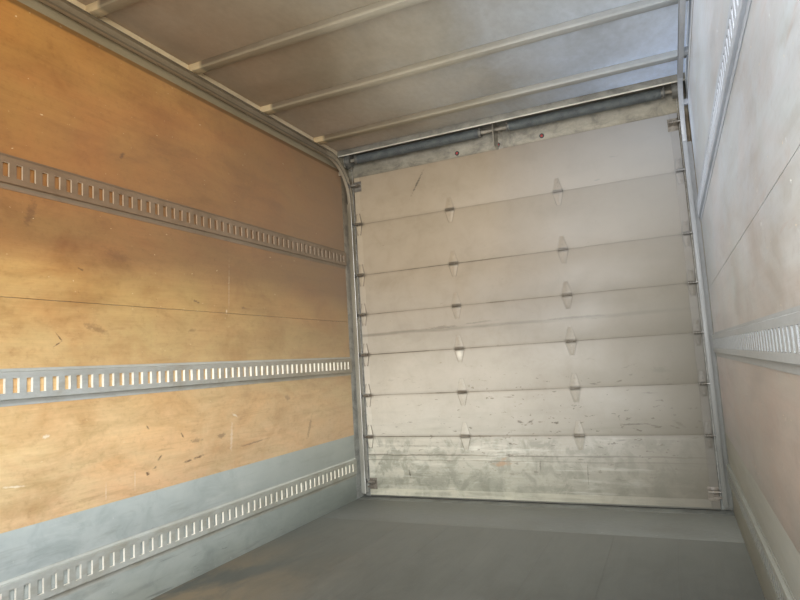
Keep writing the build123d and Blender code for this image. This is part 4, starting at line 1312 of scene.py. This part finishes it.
def hinge_finish():
    metal = Finish("hinge_paint")
    door_base(metal)
    drift = metal.noise(30.0, rough=0.6)
    film = metal.noise(9.0, rough=0.6)
    metal.tint(drift, (0.3, 0.92, 0.90, 0.87), (0.7, 1.05, 1.05, 1.04))
    torn = metal.between(film, 0.3, 0.7, -0.3, 0.3)
    # A paler patch on the lower leaf of one hinge.
    pale_leaf = metal.marks(metal.flat("X", "Z"), [((-0.382, 1.205), 90, 0.090, 0.060, 0.9)], torn)
    metal.cover(pale_leaf, 214, 208, 192)
    barrel = metal.between(metal.nearest("Z", hinge_joints), 0.019, 0.008, 0.0, 0.95)
    metal.cover(metal.times(barrel, metal.between(film, 0.32, 0.58, 0.75, 1.0)), 88, 77, 62)
    door_shade(metal)
    return metal.ready(metal.between(drift, 0.3, 0.7, 0.45, 0.62), (metal.noise(220.0), 0.0003, 0.4))


hinge_paint = hinge_finish()
finished(hinges_everywhere(), hinge_paint, ["centre_hinges"])

# %% [markdown]
# ## Hinges and rollers at the door's edges
# At both ends of each joint the hinge also carries a roller, which runs in the track. A tube on
# the hinge holds the roller's stem. The wheel is turned: a half outline of rim, web and hub is
# spun round the stem's axis. The top and bottom rollers sit in bolted corner plates.

# %% Turned pieces
def turned(name, outline, centre, steps=32):
    """Spin an outline of (distance along X, radius) round the X axis through centre."""
    clear()
    bpy.ops.mesh.primitive_circle_add(vertices=len(outline), fill_type="NOTHING")
    piece = named(name)
    for vertex, (along, radius) in zip(piece.data.vertices, outline):
        vertex.co = (centre[0] + along, centre[1], centre[2] + radius)
    edit(piece, "SELECT", "EDGE")
    bpy.ops.mesh.spin(steps=steps, angle=2 * math.pi, center=centre, axis=(1, 0, 0))
    leave()
    return smooth(mend_normals(piece), 35)


pin_set_back = 0.027
track_radius = 0.305
leaf_start = door_half - 0.042
y_roller = y_door - pin_set_back
y_leaf = y_door - 0.0016
x_wheel = wall_in - 0.024 - 0.013 - 0.00325
z_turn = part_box("door_track_right")[1].z - 0.0255 - track_radius
y_turn = y_roller - track_radius
z_bottom_roller = z_door_base + 0.062
z_top_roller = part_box("door_panel_7")[1].z - 0.073
y_top_roller = y_turn + math.sqrt(track_radius ** 2 - (z_top_roller - z_turn) ** 2)
roller_places = [(y_roller, z) for z in hinge_joints]
roller_places += [(y_roller, z_bottom_roller), (y_top_roller, z_top_roller)]


def roller(y, z):
    """A pressed wheel on a stem that reaches from the hinge leaf out into the track."""
    wheel = turned("wheel", [(0.0, 0.0072), (0.0, 0.0105), (0.003, 0.0115), (0.003, 0.0185), (0.0, 0.0205),
                             (0.0012, 0.0228), (0.0040, 0.0232), (0.0090, 0.0232), (0.0118, 0.0228),
                             (0.013, 0.0205), (0.010, 0.0185), (0.010, 0.0115), (0.0130, 0.0105),
                             (0.0130, 0.0072)], (x_wheel, y, z), 28)
    stem_end = x_wheel + 0.015
    stem = rod("stem", "X", 0.0055, stem_end - leaf_start, ((stem_end + leaf_start) / 2, y, z), 16)
    cap = soften(rod("cap", "X", 0.0085, 0.003, (x_wheel + 0.0143, y, z), 16), 0.001, 1)
    return joined("roller", [wheel, stem, cap])


def end_hinge(z):
    """A leaf with three knuckles round the roller's stem, each carried by a web."""
    leaf = bar("leaf", leaf_outline(edge_column, z, 0.021, 0.011, 0.014, 0.076, y_leaf), (0, -0.003, 0))
    parts = [soften(leaf, 0.0012, 2)]
    for along, end in ((0.0015, 0.0125), (0.0145, 0.0275), (0.0295, 0.0405)):
        low, high = leaf_start + along, leaf_start + end
        parts.append(knuckle(0.0088, low, high, y_roller, z, 18, 0.0008))
        parts.append(block("web", (low, y_roller + 0.004, z - 0.0085), (high, y_leaf - 0.0028, z + 0.0085)))
    heights = (-0.058, -0.034, 0.034, 0.058)
    parts.append(screws(0.0042, 0.003, [(edge_column, y_leaf - 0.003, z + up) for up in heights]))
    return joined("end_hinge", parts)


def corner_plate(y_axis, z, drop):
    """A bolted plate that carries a roller's stem in a tube of two pieces. Its foot is drop below z."""
    x_low = door_half - 0.060
    foot = z - drop
    plate = block("plate", (x_low, y_leaf - 0.003, foot), (door_half, y_leaf, foot + 0.080))
    parts = [soften(plate, 0.0015, 2)]
    for low, high in ((x_low + 0.004, x_low + 0.026), (x_low + 0.030, door_half - 0.002)):
        parts.append(knuckle(0.0088, low, high, y_axis, z, 18, 0.0008))
        parts.append(block("web", (low, y_axis + 0.003, z - 0.008), (high, y_door - 0.0046, z + 0.008)))
    corners = [(x, foot + up) for x in (x_low + 0.012, door_half - 0.012) for up in (0.010, 0.070)]
    parts.append(screws(0.0048, 0.0035, [(x, y_leaf - 0.003, up) for x, up in corners]))
    return joined("corner_plate", parts)


def both_sides(name, piece):
    return joined(name, [piece, mirrored(piece, name + "_twin")])


rollers = joined("roller_row", [roller(y, z) for y, z in roller_places])
finished(smooth(both_sides("roller_set", rollers), 40), roller_worn, ["rollers"])
edge_hinges = joined("edge_hinges", [end_hinge(z) for z in hinge_joints])
finished(smooth(both_sides("end_hinge_set", edge_hinges), 40), hinge_paint, ["end_hinges"])


def corner_fixture_set():
    anchor = soften(block("anchor", (door_half - 0.030, y_door - 0.021, z_door_base + 0.022),
                          (door_half + 0.012, y_door - 0.0046, z_door_base + 0.032)), 0.0015, 2)
    low = corner_plate(y_roller, z_bottom_roller, 0.055)
    high = corner_plate(y_top_roller, z_top_roller, 0.040)
    return both_sides("corner_fixture_set", joined("fixtures", [low, high, anchor]))


dark_fixture = steel("dark_fixture", (120, 112, 100), (84, 76, 66), (150, 144, 132),
                     (0.35, 0.6), 0.1, 0.5, 0.3, even, 20.0)
finished(smooth(corner_fixture_set(), 40), dark_fixture, ["corner_fixtures"])

# %% [markdown]
# ## The counterbalance over the door
# Two long coil springs on a shaft carry the weight of the door. Each coil is one round wire, so we
# make a small circle and let a Screw modifier wind it along the shaft. Cast cones grip the ends of
# the coils, and a grooved drum at each end of the shaft winds up the lift cable. Cones and drums
# are turned pieces, like the rollers.

# %% Springs, cones, drums and shaft
shaft_low, shaft_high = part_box("spring_shaft")
y_shaft = (shaft_low.y + shaft_high.y) / 2
z_shaft = (shaft_low.z + shaft_high.z) / 2
x_drum = door_half + 0.019
spring_start = 0.108
spring_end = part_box("counter_springs")[1].x
coil_radius = 0.0292
wire_radius = 0.0035


def wound(wire, axis, pitch, turns, steps):
    """Wind a wire's section round an axis with a Screw modifier, applied."""
    only(wire)
    coil = wire.modifiers.new("coil", "SCREW")
    coil.axis = axis
    coil.angle = 2 * math.pi
    coil.screw_offset = pitch
    coil.iterations = turns
    coil.steps = steps
    coil.render_steps = steps
    coil.use_normal_calculate = True
    bpy.ops.object.modifier_apply(modifier="coil")
    return mend_normals(wire)


def spring(name):
    """The wire's section stands in a plane that holds the shaft's axis."""
    turns = 132
    clear()
    bpy.ops.mesh.primitive_circle_add(vertices=8, radius=wire_radius, fill_type="NGON")
    section = moved(named(name), Matrix.Translation((0, 0, coil_radius)) @ turned_by(90, "X"))
    coil = wound(section, "X", (spring_end - spring_start - 2 * wire_radius - 0.0004) / turns, turns, 20)
    return moved(coil, Matrix.Translation((spring_start + wire_radius + 0.0002, y_shaft, z_shaft)))


def cone(x, facing):
    """A cast cone: a flange at x, and a threaded body that goes into the coil."""
    body = turned("cone", [(0, 0.0132), (0, 0.030), (facing * 0.004, 0.0328), (facing * 0.010, 0.0328),
                           (facing * 0.012, 0.0275), (facing * 0.034, 0.0245), (facing * 0.036, 0.0132)],
                  (x, y_shaft, z_shaft), 32)
    parts = [body]
    for angle in (0.9, 2.5):
        screw = rod("set_screw", "Z", 0.0042, 0.012, (x + facing * 0.006, 0, 0.034), 8)
        parts.append(moved(screw, Matrix.Translation((0, y_shaft, z_shaft)) @ Matrix.Rotation(angle, 4, "X")))
    return joined("cone", parts)


def grooved_drum():
    """The barrel's outline runs in and out of its grooves, up over the flange and back inside."""
    groove_count = 6
    groove_pitch = 0.030 / groove_count
    outline = [(-0.038, 0.0132), (-0.038, 0.040), (-0.0375, 0.0465)]
    for n in range(groove_count):
        x = -0.036 + n * groove_pitch
        outline += [(x, 0.0478), (x + 0.0018, 0.0455), (x + 0.0036, 0.0478)]
    outline += [(-0.0055, 0.0478), (-0.005, 0.0555), (-0.0015, 0.056), (0, 0.0550), (0, 0.050),
                (-0.003, 0.046), (-0.003, 0.024), (0, 0.022), (0, 0.0132)]
    return turned("drum", outline, (x_drum, y_shaft, z_shaft), 40)


right_spring = smooth(spring("spring_right"), 60)
left_spring = mirrored(right_spring, "spring_left")
finished(right_spring, spring_oil, ["counter_springs"])
finished(left_spring, spring_oil, ["counter_springs"])
castings = joined("castings", [grooved_drum(), cone(spring_start - 0.018, 1), cone(spring_end + 0.018, -1)])
finished(both_sides("drums_and_cones", castings), cast, ["cable_drums"])
shaft = soften(rod("shaft", "X", 0.0127, 2 * shaft_high.x, (0, y_shaft, z_shaft), 32), 0.001, 2)
finished(smooth(joined("torsion_shaft", [shaft])), dusty_bracket, ["spring_shaft"])

# %% [markdown]
# ## The header behind the springs
# The inner face of the header shows as a pale, blotchy band under the dark springs. A thin lip
# hangs in front of them, with a bright folded hem, and the backs of the small red marker lamps
# show through holes in the plate.

# %% Header lip and lamp backs
header_low, header_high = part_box("rear_header")
y_jamb = header_high.y - 0.032


def header_lip():
    """A folded hem along the lower edge: its section, drawn from the left wall to the right."""
    y = header_low.y - 0.0004
    low = z_bow - 0.011
    hem = [(0, -0.0005), (-0.0035, 0.0005), (-0.0045, 0.003), (-0.0035, 0.008), (-0.0005, 0.009), (0, 0.009)]
    half = wall_in - 0.004
    return bar("header_hem", [(-half, y + back, low + up) for back, up in hem], (2 * half, 0, 0))


bright_hem = steel("bright_hem", (196, 190, 174), (158, 151, 134), (214, 208, 192), (0.4, 0.55),
                   0.1, 0.2, 0.2, (0.3, 1, 1), 12.0)
finished(smooth(header_lip()), bright_hem)


def grommet(x):
    section = [(0, 0.009), (0, 0.016), (0.004, 0.0165), (0.006, 0.014), (0.006, 0.009)]
    ring = turned("ring", section, (0, 0, 0), 20)
    return moved(ring, Matrix.Translation((x, y_jamb, z_marker)) @ turned_by(-90, "Z"))


def lamp_back(x):
    return soften(rod("plug", "Y", 0.0092, 0.010, (x, y_jamb - 0.003, z_marker), 16), 0.002, 2)


z_marker = header_low.z + 0.062
marker_places = (-0.305, 0, 0.305)
finished(joined("lamp_grommets", [grommet(x) for x in marker_places]), seal_black)
finished(smooth(joined("lamp_backs", [lamp_back(x) for x in marker_places])),
         lens("red_plug", (178, 82, 78), (140, 60, 56)))

# %% [markdown]
# ## Rivets inside and outside
# Rivets hold the plywood to the wall posts every 16 inches, and close rows of them hold the outer
# skin to the top and bottom rails. They mark out the posts, which is how one tells from outside
# where the frame of such a body runs.

# %% Rivets of the plywood
SIGN = {"left": -1, "right": 1}
INWARDS = {"left": "+X", "right": "-X"}
OUTWARDS = {"left": "-X", "right": "+X"}
rivet_heights = (0.50, 0.78, 1.16, 1.25, 1.33, 1.57, 1.95, 2.18, 2.41)


def wall_rivets(side):
    inside_posts = [y for y in post_places if y >= y_lining + 0.05]
    places = [((SIGN[side] * wall_in, y, z_floor + up), INWARDS[side])
              for y in inside_posts for up in rivet_heights]
    return set_out(f"wall_rivets_{side}", rivet_head(0.0055, 0.0009), places)


for side, cover in (("left", plywood_left), ("right", plywood_right)):
    finished(wall_rivets(side), cover)

# %% Rivets of the outer skin
side_low, side_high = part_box("bottom_rails")
y_side = side_low.y
rail_out = side_high.x - 0.005
skin_out = rail_out - 0.008


def skin_rivets(side):
    """Two staggered rows on the bottom rail and on the roof rail, and one row down each post."""
    row_pitch = 0.05
    post_row_pitch = 0.1
    staggered = ((0, z_floor + 0.062), (0.025, z_floor + 0.074),
                 (0, z_lining - 0.014), (0.025, z_lining - 0.036))
    places = []
    y = y_side + 0.03
    while y < y_post - 0.02:
        places += [(SIGN[side] * rail_out, y + back, z) for back, z in staggered]
        y += row_pitch
    for y in post_places:
        z = z_floor + 0.12
        while z < z_lining - 0.07:
            if y > y_side + 0.02:
                places.append((SIGN[side] * skin_out, y, z))
            z += post_row_pitch
    outer_places = [(place, OUTWARDS[side]) for place in places]
    return set_out(f"skin_rivets_{side}", rivet_head(0.005, 0.002, 6), outer_places)


for side in ("left", "right"):
    finished(skin_rivets(side), white_skin)

# %% [markdown]
# ## Edges made soft
# Folded sheet and sawn board have no razor edges, and a render shows it: a rounded edge catches a
# thin line of light. The CAD solids are exact but sharp. So we copy each one, merge its loose
# triangles into whole faces again, and round its edges with a bevel of the real size: under a
# millimetre for sheet steel, more for extrusions and rubber.

# %% Finer twins of the CAD solids
def softened(node, slot, width, segments=2, more=()):
    """A twin of a node with rounded edges, in the node's own finish, with more pieces joined to it."""
    piece = bpy.data.objects.new(f"{node}_soft", nodes[node].data.copy())
    piece.data.name = piece.name
    bpy.context.collection.objects.link(piece)
    edit(piece)
    bpy.ops.mesh.remove_doubles(threshold=0.00001)
    bpy.ops.mesh.normals_make_consistent(inside=False)
    bpy.ops.mesh.dissolve_limited(angle_limit=math.radians(1))
    leave()
    soften(piece, width, segments)
    if more:
        piece = joined(piece.name, [piece, *more])
    return finished(smooth(piece, 40), nodes[node].data.materials[0], [node])


# Node, slot, width of the rounding and its segments.
rounded_nodes = [(f"door_panel_{n}", "door_paint", 0.0012, 2) for n in range(1, 8)]
rounded_nodes += [
    ("door_edge_caps", "door_paint", 0.0003, 1),
    ("door_track_left", "zinc_steel", 0.0005, 2),
    ("rear_post_left", "rear_frame_steel", 0.0015, 2),
    ("door_track_right", "zinc_steel", 0.0005, 2),
    ("rear_post_right", "rear_frame_steel", 0.0015, 2),
    ("rear_header", "rear_frame_steel", 0.0012, 2),
    ("rear_sill", "rear_frame_steel", 0.0015, 2),
    ("threshold_plate", "plate_steel", 0.0010, 2),
    ("roof_rails", "rail_aluminium", 0.0010, 2),
    ("bottom_rails", "rail_aluminium", 0.0010, 2),
    ("front_sill", "rail_aluminium", 0.0010, 2),
    ("front_corner_posts", "rail_aluminium", 0.0020, 2),
    ("corner_caps", "rail_aluminium", 0.0030, 3),
    ("front_top_rail", "rail_aluminium", 0.0015, 2),
    ("long_sills", "under_steel", 0.0020, 2),
    ("crossmembers", "under_steel", 0.0012, 2),
    ("scuff_plates", "scuff_steel", 0.0008, 2),
    ("door_seals", "seal_rubber", 0.0015, 2),
]
for row in rounded_nodes:
    softened(*row)

# %% [markdown]
# ## Paint and dirt in the door's joints
# The panels overlap behind each joint, and years of paint and dirt have nearly closed the open
# part of it. A thin strip stands a millimetre back in each joint, so the joint reads as a fine line
# and not as a black slit.

# %% Strips in the door's joints
joint_strips = []
for z in hinge_joints:
    low = (-door_half + 0.001, y_door + 0.0009, z + 0.00005)
    high = (door_half - 0.001, y_door + 0.0060, z + 0.00145)
    joint_strips.append(soften(block("strip", low, high), 0.0002, 1))
finished(joined("joint_strips", joint_strips), cream)

# %% [markdown]
# ## Roof bows
# A bow is a steel hat that spans the roof. Its flat face is lighter than its web, which is painted
# darker as shade, and two rivets at each end hold it to the roof rail. The copy of the CAD solid gets
# a folded edge with a real radius, and the rivets are set out on it.

# %% Roof bows with their rivets
bow_pitch = 0.6096
bow_places = []
y = y_door - 0.440
while y > y_lining + 0.075:
    bow_places.append(y)
    y -= bow_pitch
bow_rivets = [((sign * (wall_in - 0.016), y + aside, z_bow), "-Z")
              for y in bow_places for sign in (-1, 1) for aside in (-0.013, 0.013)]
print("bows at", [round(y, 3) for y in bow_places])
softened("roof_bows", "bow_steel", 0.0018, 2, [set_out("bow_rivets", rivet_head(0.0045, 0.0020), bow_rivets)])

# %% [markdown]
# ## The floor's joints and the threshold
# The boards lie so close that dirt has filled their joints. A filler strip stands in each one, just
# under the top. The steel threshold is held down by rows of countersunk screws, painted with it.

# %% Joint filler and threshold screws
board_count = 8
joint_width = 0.0015
board_pitch = (floor_high.x - floor_low.x + joint_width) / board_count
board_start = floor_low.x - joint_width / 2
strips = []
for n in range(1, board_count):
    x = board_start + n * board_pitch
    strips.append(block("strip", (x - 0.00074, floor_low.y + 0.001, z_floor - 0.004),
                        (x + 0.00074, floor_high.y - 0.001, z_floor - 0.0003)))
finished(joined("joint_filler", strips), worn_floor)
softened("floor_boards", "floor_wood", 0.0004, 1)


def countersunk():
    """A flat screw head, with its recess pressed in."""
    clear()
    bpy.ops.mesh.primitive_circle_add(vertices=12, radius=0.0065, fill_type="NGON")
    screw = named("screw")
    edit(screw)
    extrude(0, 0, 0.0006)
    bpy.ops.mesh.inset(thickness=0.0008)
    bpy.ops.mesh.inset(thickness=0.0028)
    bpy.ops.transform.translate(value=(0, 0, -0.0005))
    leave()
    return smooth(mend_normals(screw), 30)


screw_rows = (floor_high.y + 0.04, y_post - 0.04)
screw_places = [((-1.08 + n * 0.27, y, z_floor), "+Z") for n in range(9) for y in screw_rows]
finished(set_out("threshold_screws", countersunk(), screw_places), threshold_paint)

# %% [markdown]
# ## Lift cables
# A steel cable runs from the bottom corner of the door up to the drum. It is six wires, laid round
# each other like a rope. One wire is a small diamond, set off from the axis and wound up the cable
# by a Screw modifier. Six of them, each turned by a sixth, make the rope.

# %% Stranded cable
def turned_out(tube, ring):
    """Turn the faces of an open tube outwards, judged by its first face and its first two rings."""
    middle = sum((tube.data.vertices[n].co for n in range(2 * ring)), Vector()) / (2 * ring)
    face = tube.data.polygons[0]
    if face.normal.dot(face.center - middle) < 0:
        tube.data.flip_normals()
    return tube


def strand_cable(name):
    low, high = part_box("lift_cables")
    turns = 90
    end_gap = 0.0007
    wires = []
    for n in range(6):
        clear()
        bpy.ops.mesh.primitive_circle_add(vertices=4, radius=0.00062, fill_type="NOTHING")
        section = moved(named("wire"), turned_by(60 * n, "Z") @ Matrix.Translation((0.00095, 0, 0)))
        wires.append(turned_out(wound(section, "Z", (high.z - low.z - 2 * end_gap) / turns, turns, 7), 4))
    place = (high.x - 0.0020, (low.y + high.y) / 2, low.z + end_gap)
    return smooth(moved(joined(name, wires), Matrix.Translation(place)), 80)


finished(both_sides("cable_pair", strand_cable("cable")), cable_wire, ["lift_cables"])

# %% [markdown]
# ## Shaft brackets
# Three plates carry the spring shaft: one beside each drum and one in the middle. Each is bolted to
# the header through its foot, and the middle one has a turned bearing ring round the shaft.

# %% Bearings and bracket bolts
half_ring = [(0.0055, 0.0134), (0.0055, 0.0195), (0.0042, 0.0232), (0.0, 0.0240)]
ring_outline = [(-along, radius) for along, radius in half_ring] + half_ring[-2::-1]
bracket_parts = [turned("bearing", ring_outline, (0, y_shaft, z_shaft), 28)]
foot_bolts = [((0.018, y_jamb - 0.004, z), "-Y") for z in (z_shaft - 0.085, z_shaft - 0.035, z_shaft + 0.035)]
x_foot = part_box("bearing_plates")[1].x - 0.014
foot_bolts += [((x, y_jamb - 0.004, z_shaft + up), "-Y") for x in (-x_foot, x_foot) for up in (-0.038, 0.038)]
bracket_parts.append(set_out("foot_bolts", bolt_head(0.006, 0.004), foot_bolts))
softened("bearing_plates", "zinc_steel", 0.0008, 2, bracket_parts)

# %% [markdown]
# ## The latch outside
# Outside, a flat plate is riveted to the lowest panel, and a lever turns on a boss in its middle.
# The lever's end is rounded for the hand, and a hasp stands beside it.

# %% Latch
latch_low, latch_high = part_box("door_latch")
z_latch = (latch_low.z + latch_high.z) / 2
y_latch = latch_low.y


def latch_pieces():
    y_plate = y_latch + 0.004
    y_lever = y_latch + 0.012
    plate = soften(block("plate", latch_low, (-latch_low.x, y_plate, latch_high.z)), 0.0015, 2)
    boss = soften(rod("boss", "Y", 0.026, 0.008, (0, y_latch + 0.008, z_latch), 40), 0.0015, 2)
    pivot = soften(rod("pivot", "Y", 0.009, 0.002, (0, y_latch + 0.017, z_latch), 6), 0.0006, 1)
    tip = latch_high.x - 0.012
    outline = [(-0.012, -0.010), (-0.008, -0.012)]
    for n in range(9):
        angle = math.radians(-90 + n * 22.5)
        outline.append((tip + 0.012 * math.cos(angle), 0.012 * math.sin(angle)))
    outline += [(-0.008, 0.012), (-0.012, 0.010)]
    lever = soften(bar("lever", [(x, y_lever, z_latch + up) for x, up in outline], (0, 0.005, 0)), 0.0012, 2)
    hasp = turned("hasp", [(-0.0025, 0.009), (-0.0025, 0.014), (0.0025, 0.014), (0.0025, 0.009)],
                  (-0.055, y_latch + 0.002, z_latch), 24)
    edit(hasp)
    bpy.ops.mesh.bisect(plane_co=(0, y_plate, 0), plane_no=(0, 1, 0), clear_inner=True)
    leave()
    rivets = [((x, y_plate, z_latch + up), "+Y") for x in (-0.078, 0.078) for up in (-0.058, 0.058)]
    return [plate, boss, pivot, lever, hasp, set_out("latch_rivets", rivet_head(0.0055, 0.0026), rivets)]


finished(smooth(joined("latch_set", latch_pieces()), 40), zinc, ["door_latch"])

# %% [markdown]
# ## Lamps and bumpers
# Each lamp is a low clear-edged block of plastic. Its twin gets a wide rounding, which is how such
# a lens is moulded. The rubber bumpers under the door are bolted through two deep holes, which a
# Boolean modifier cuts, and a bolt sits in the bottom of each hole.

# %% Lamps and bumpers
for node, slot, *colours in lamp_lenses:
    softened(node, slot, 0.0040, 3)

bumper_low, bumper_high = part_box("dock_bumpers")


def bumper():
    piece = block("bumper", (bumper_high.x - 0.250, bumper_low.y, bumper_low.z), bumper_high)
    z = (bumper_low.z + bumper_high.z) / 2
    bolts = []
    for x in (bumper_high.x - 0.190, bumper_high.x - 0.060):
        hole = rod("hole", "Y", 0.017, 0.060, (x, bumper_high.y, z), 24)
        only(piece)
        cut = piece.modifiers.new("bolt_hole", "BOOLEAN")
        cut.operation = "DIFFERENCE"
        cut.solver = "EXACT"
        cut.object = hole
        bpy.ops.object.modifier_apply(modifier="bolt_hole")
        bpy.data.objects.remove(hole)
        bolts.append(((x, bumper_high.y - 0.030, z), "+Y"))
    soften(piece, 0.0060, 3)
    return joined("bumper_and_bolts", [piece, set_out("bumper_bolts", bolt_head(0.009, 0.006), bolts)])


finished(smooth(both_sides("bumper_pair", bumper()), 40), bumper_black, ["dock_bumpers"])

# %% [markdown]
# ## Outer walls and underside
# From outside the walls are sheets that lap each other at every third post. A thin strip makes each
# lap. Rows of rivets close the front wall, and bolts hold each crossmember to the long sills.

# %% Laps, front rivets and sill bolts
def lap(side, y):
    x_low, x_high = sorted((SIGN[side] * skin_out, SIGN[side] * (skin_out + 0.0009)))
    low = (x_low, y - 0.017, z_floor + 0.085)
    return soften(block("lap", low, (x_high, y + 0.017, z_lining - 0.052)), 0.0004, 1)


for side in ("left", "right"):
    laps = joined(f"skin_laps_{side}", [lap(side, y) for y in lap_places if y > y_side + 0.05])
    finished(laps, white_skin)

front_low, front_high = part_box("front_wall")
edge_rivets = 45
edge_reach = 1.09
front_points = []
for n in range(edge_rivets):
    x = -edge_reach + n * 2 * edge_reach / (edge_rivets - 1)
    front_points += [(x, front_high.z - 0.020), (x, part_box("front_sill")[1].z + 0.015)]
front_points += [(x, z_floor + 0.18 + n * 0.105) for x in front_posts for n in range(22)]
front_places = [((x, front_low.y, z), "-Y") for x, z in front_points]
finished(set_out("front_rivets", rivet_head(0.005, 0.002, 6), front_places), white_skin)

cross_low, cross_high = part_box("crossmembers")
sill_bolt_places = []
y = cross_low.y
while y < cross_high.y:
    sill_bolt_places += [((x, y + 0.027, cross_low.z + 0.005), "+Z") for x in (-0.395, 0.395)]
    y += post_pitch
finished(set_out("sill_bolts", bolt_head(0.008, 0.006), sill_bolt_places), black_paint)
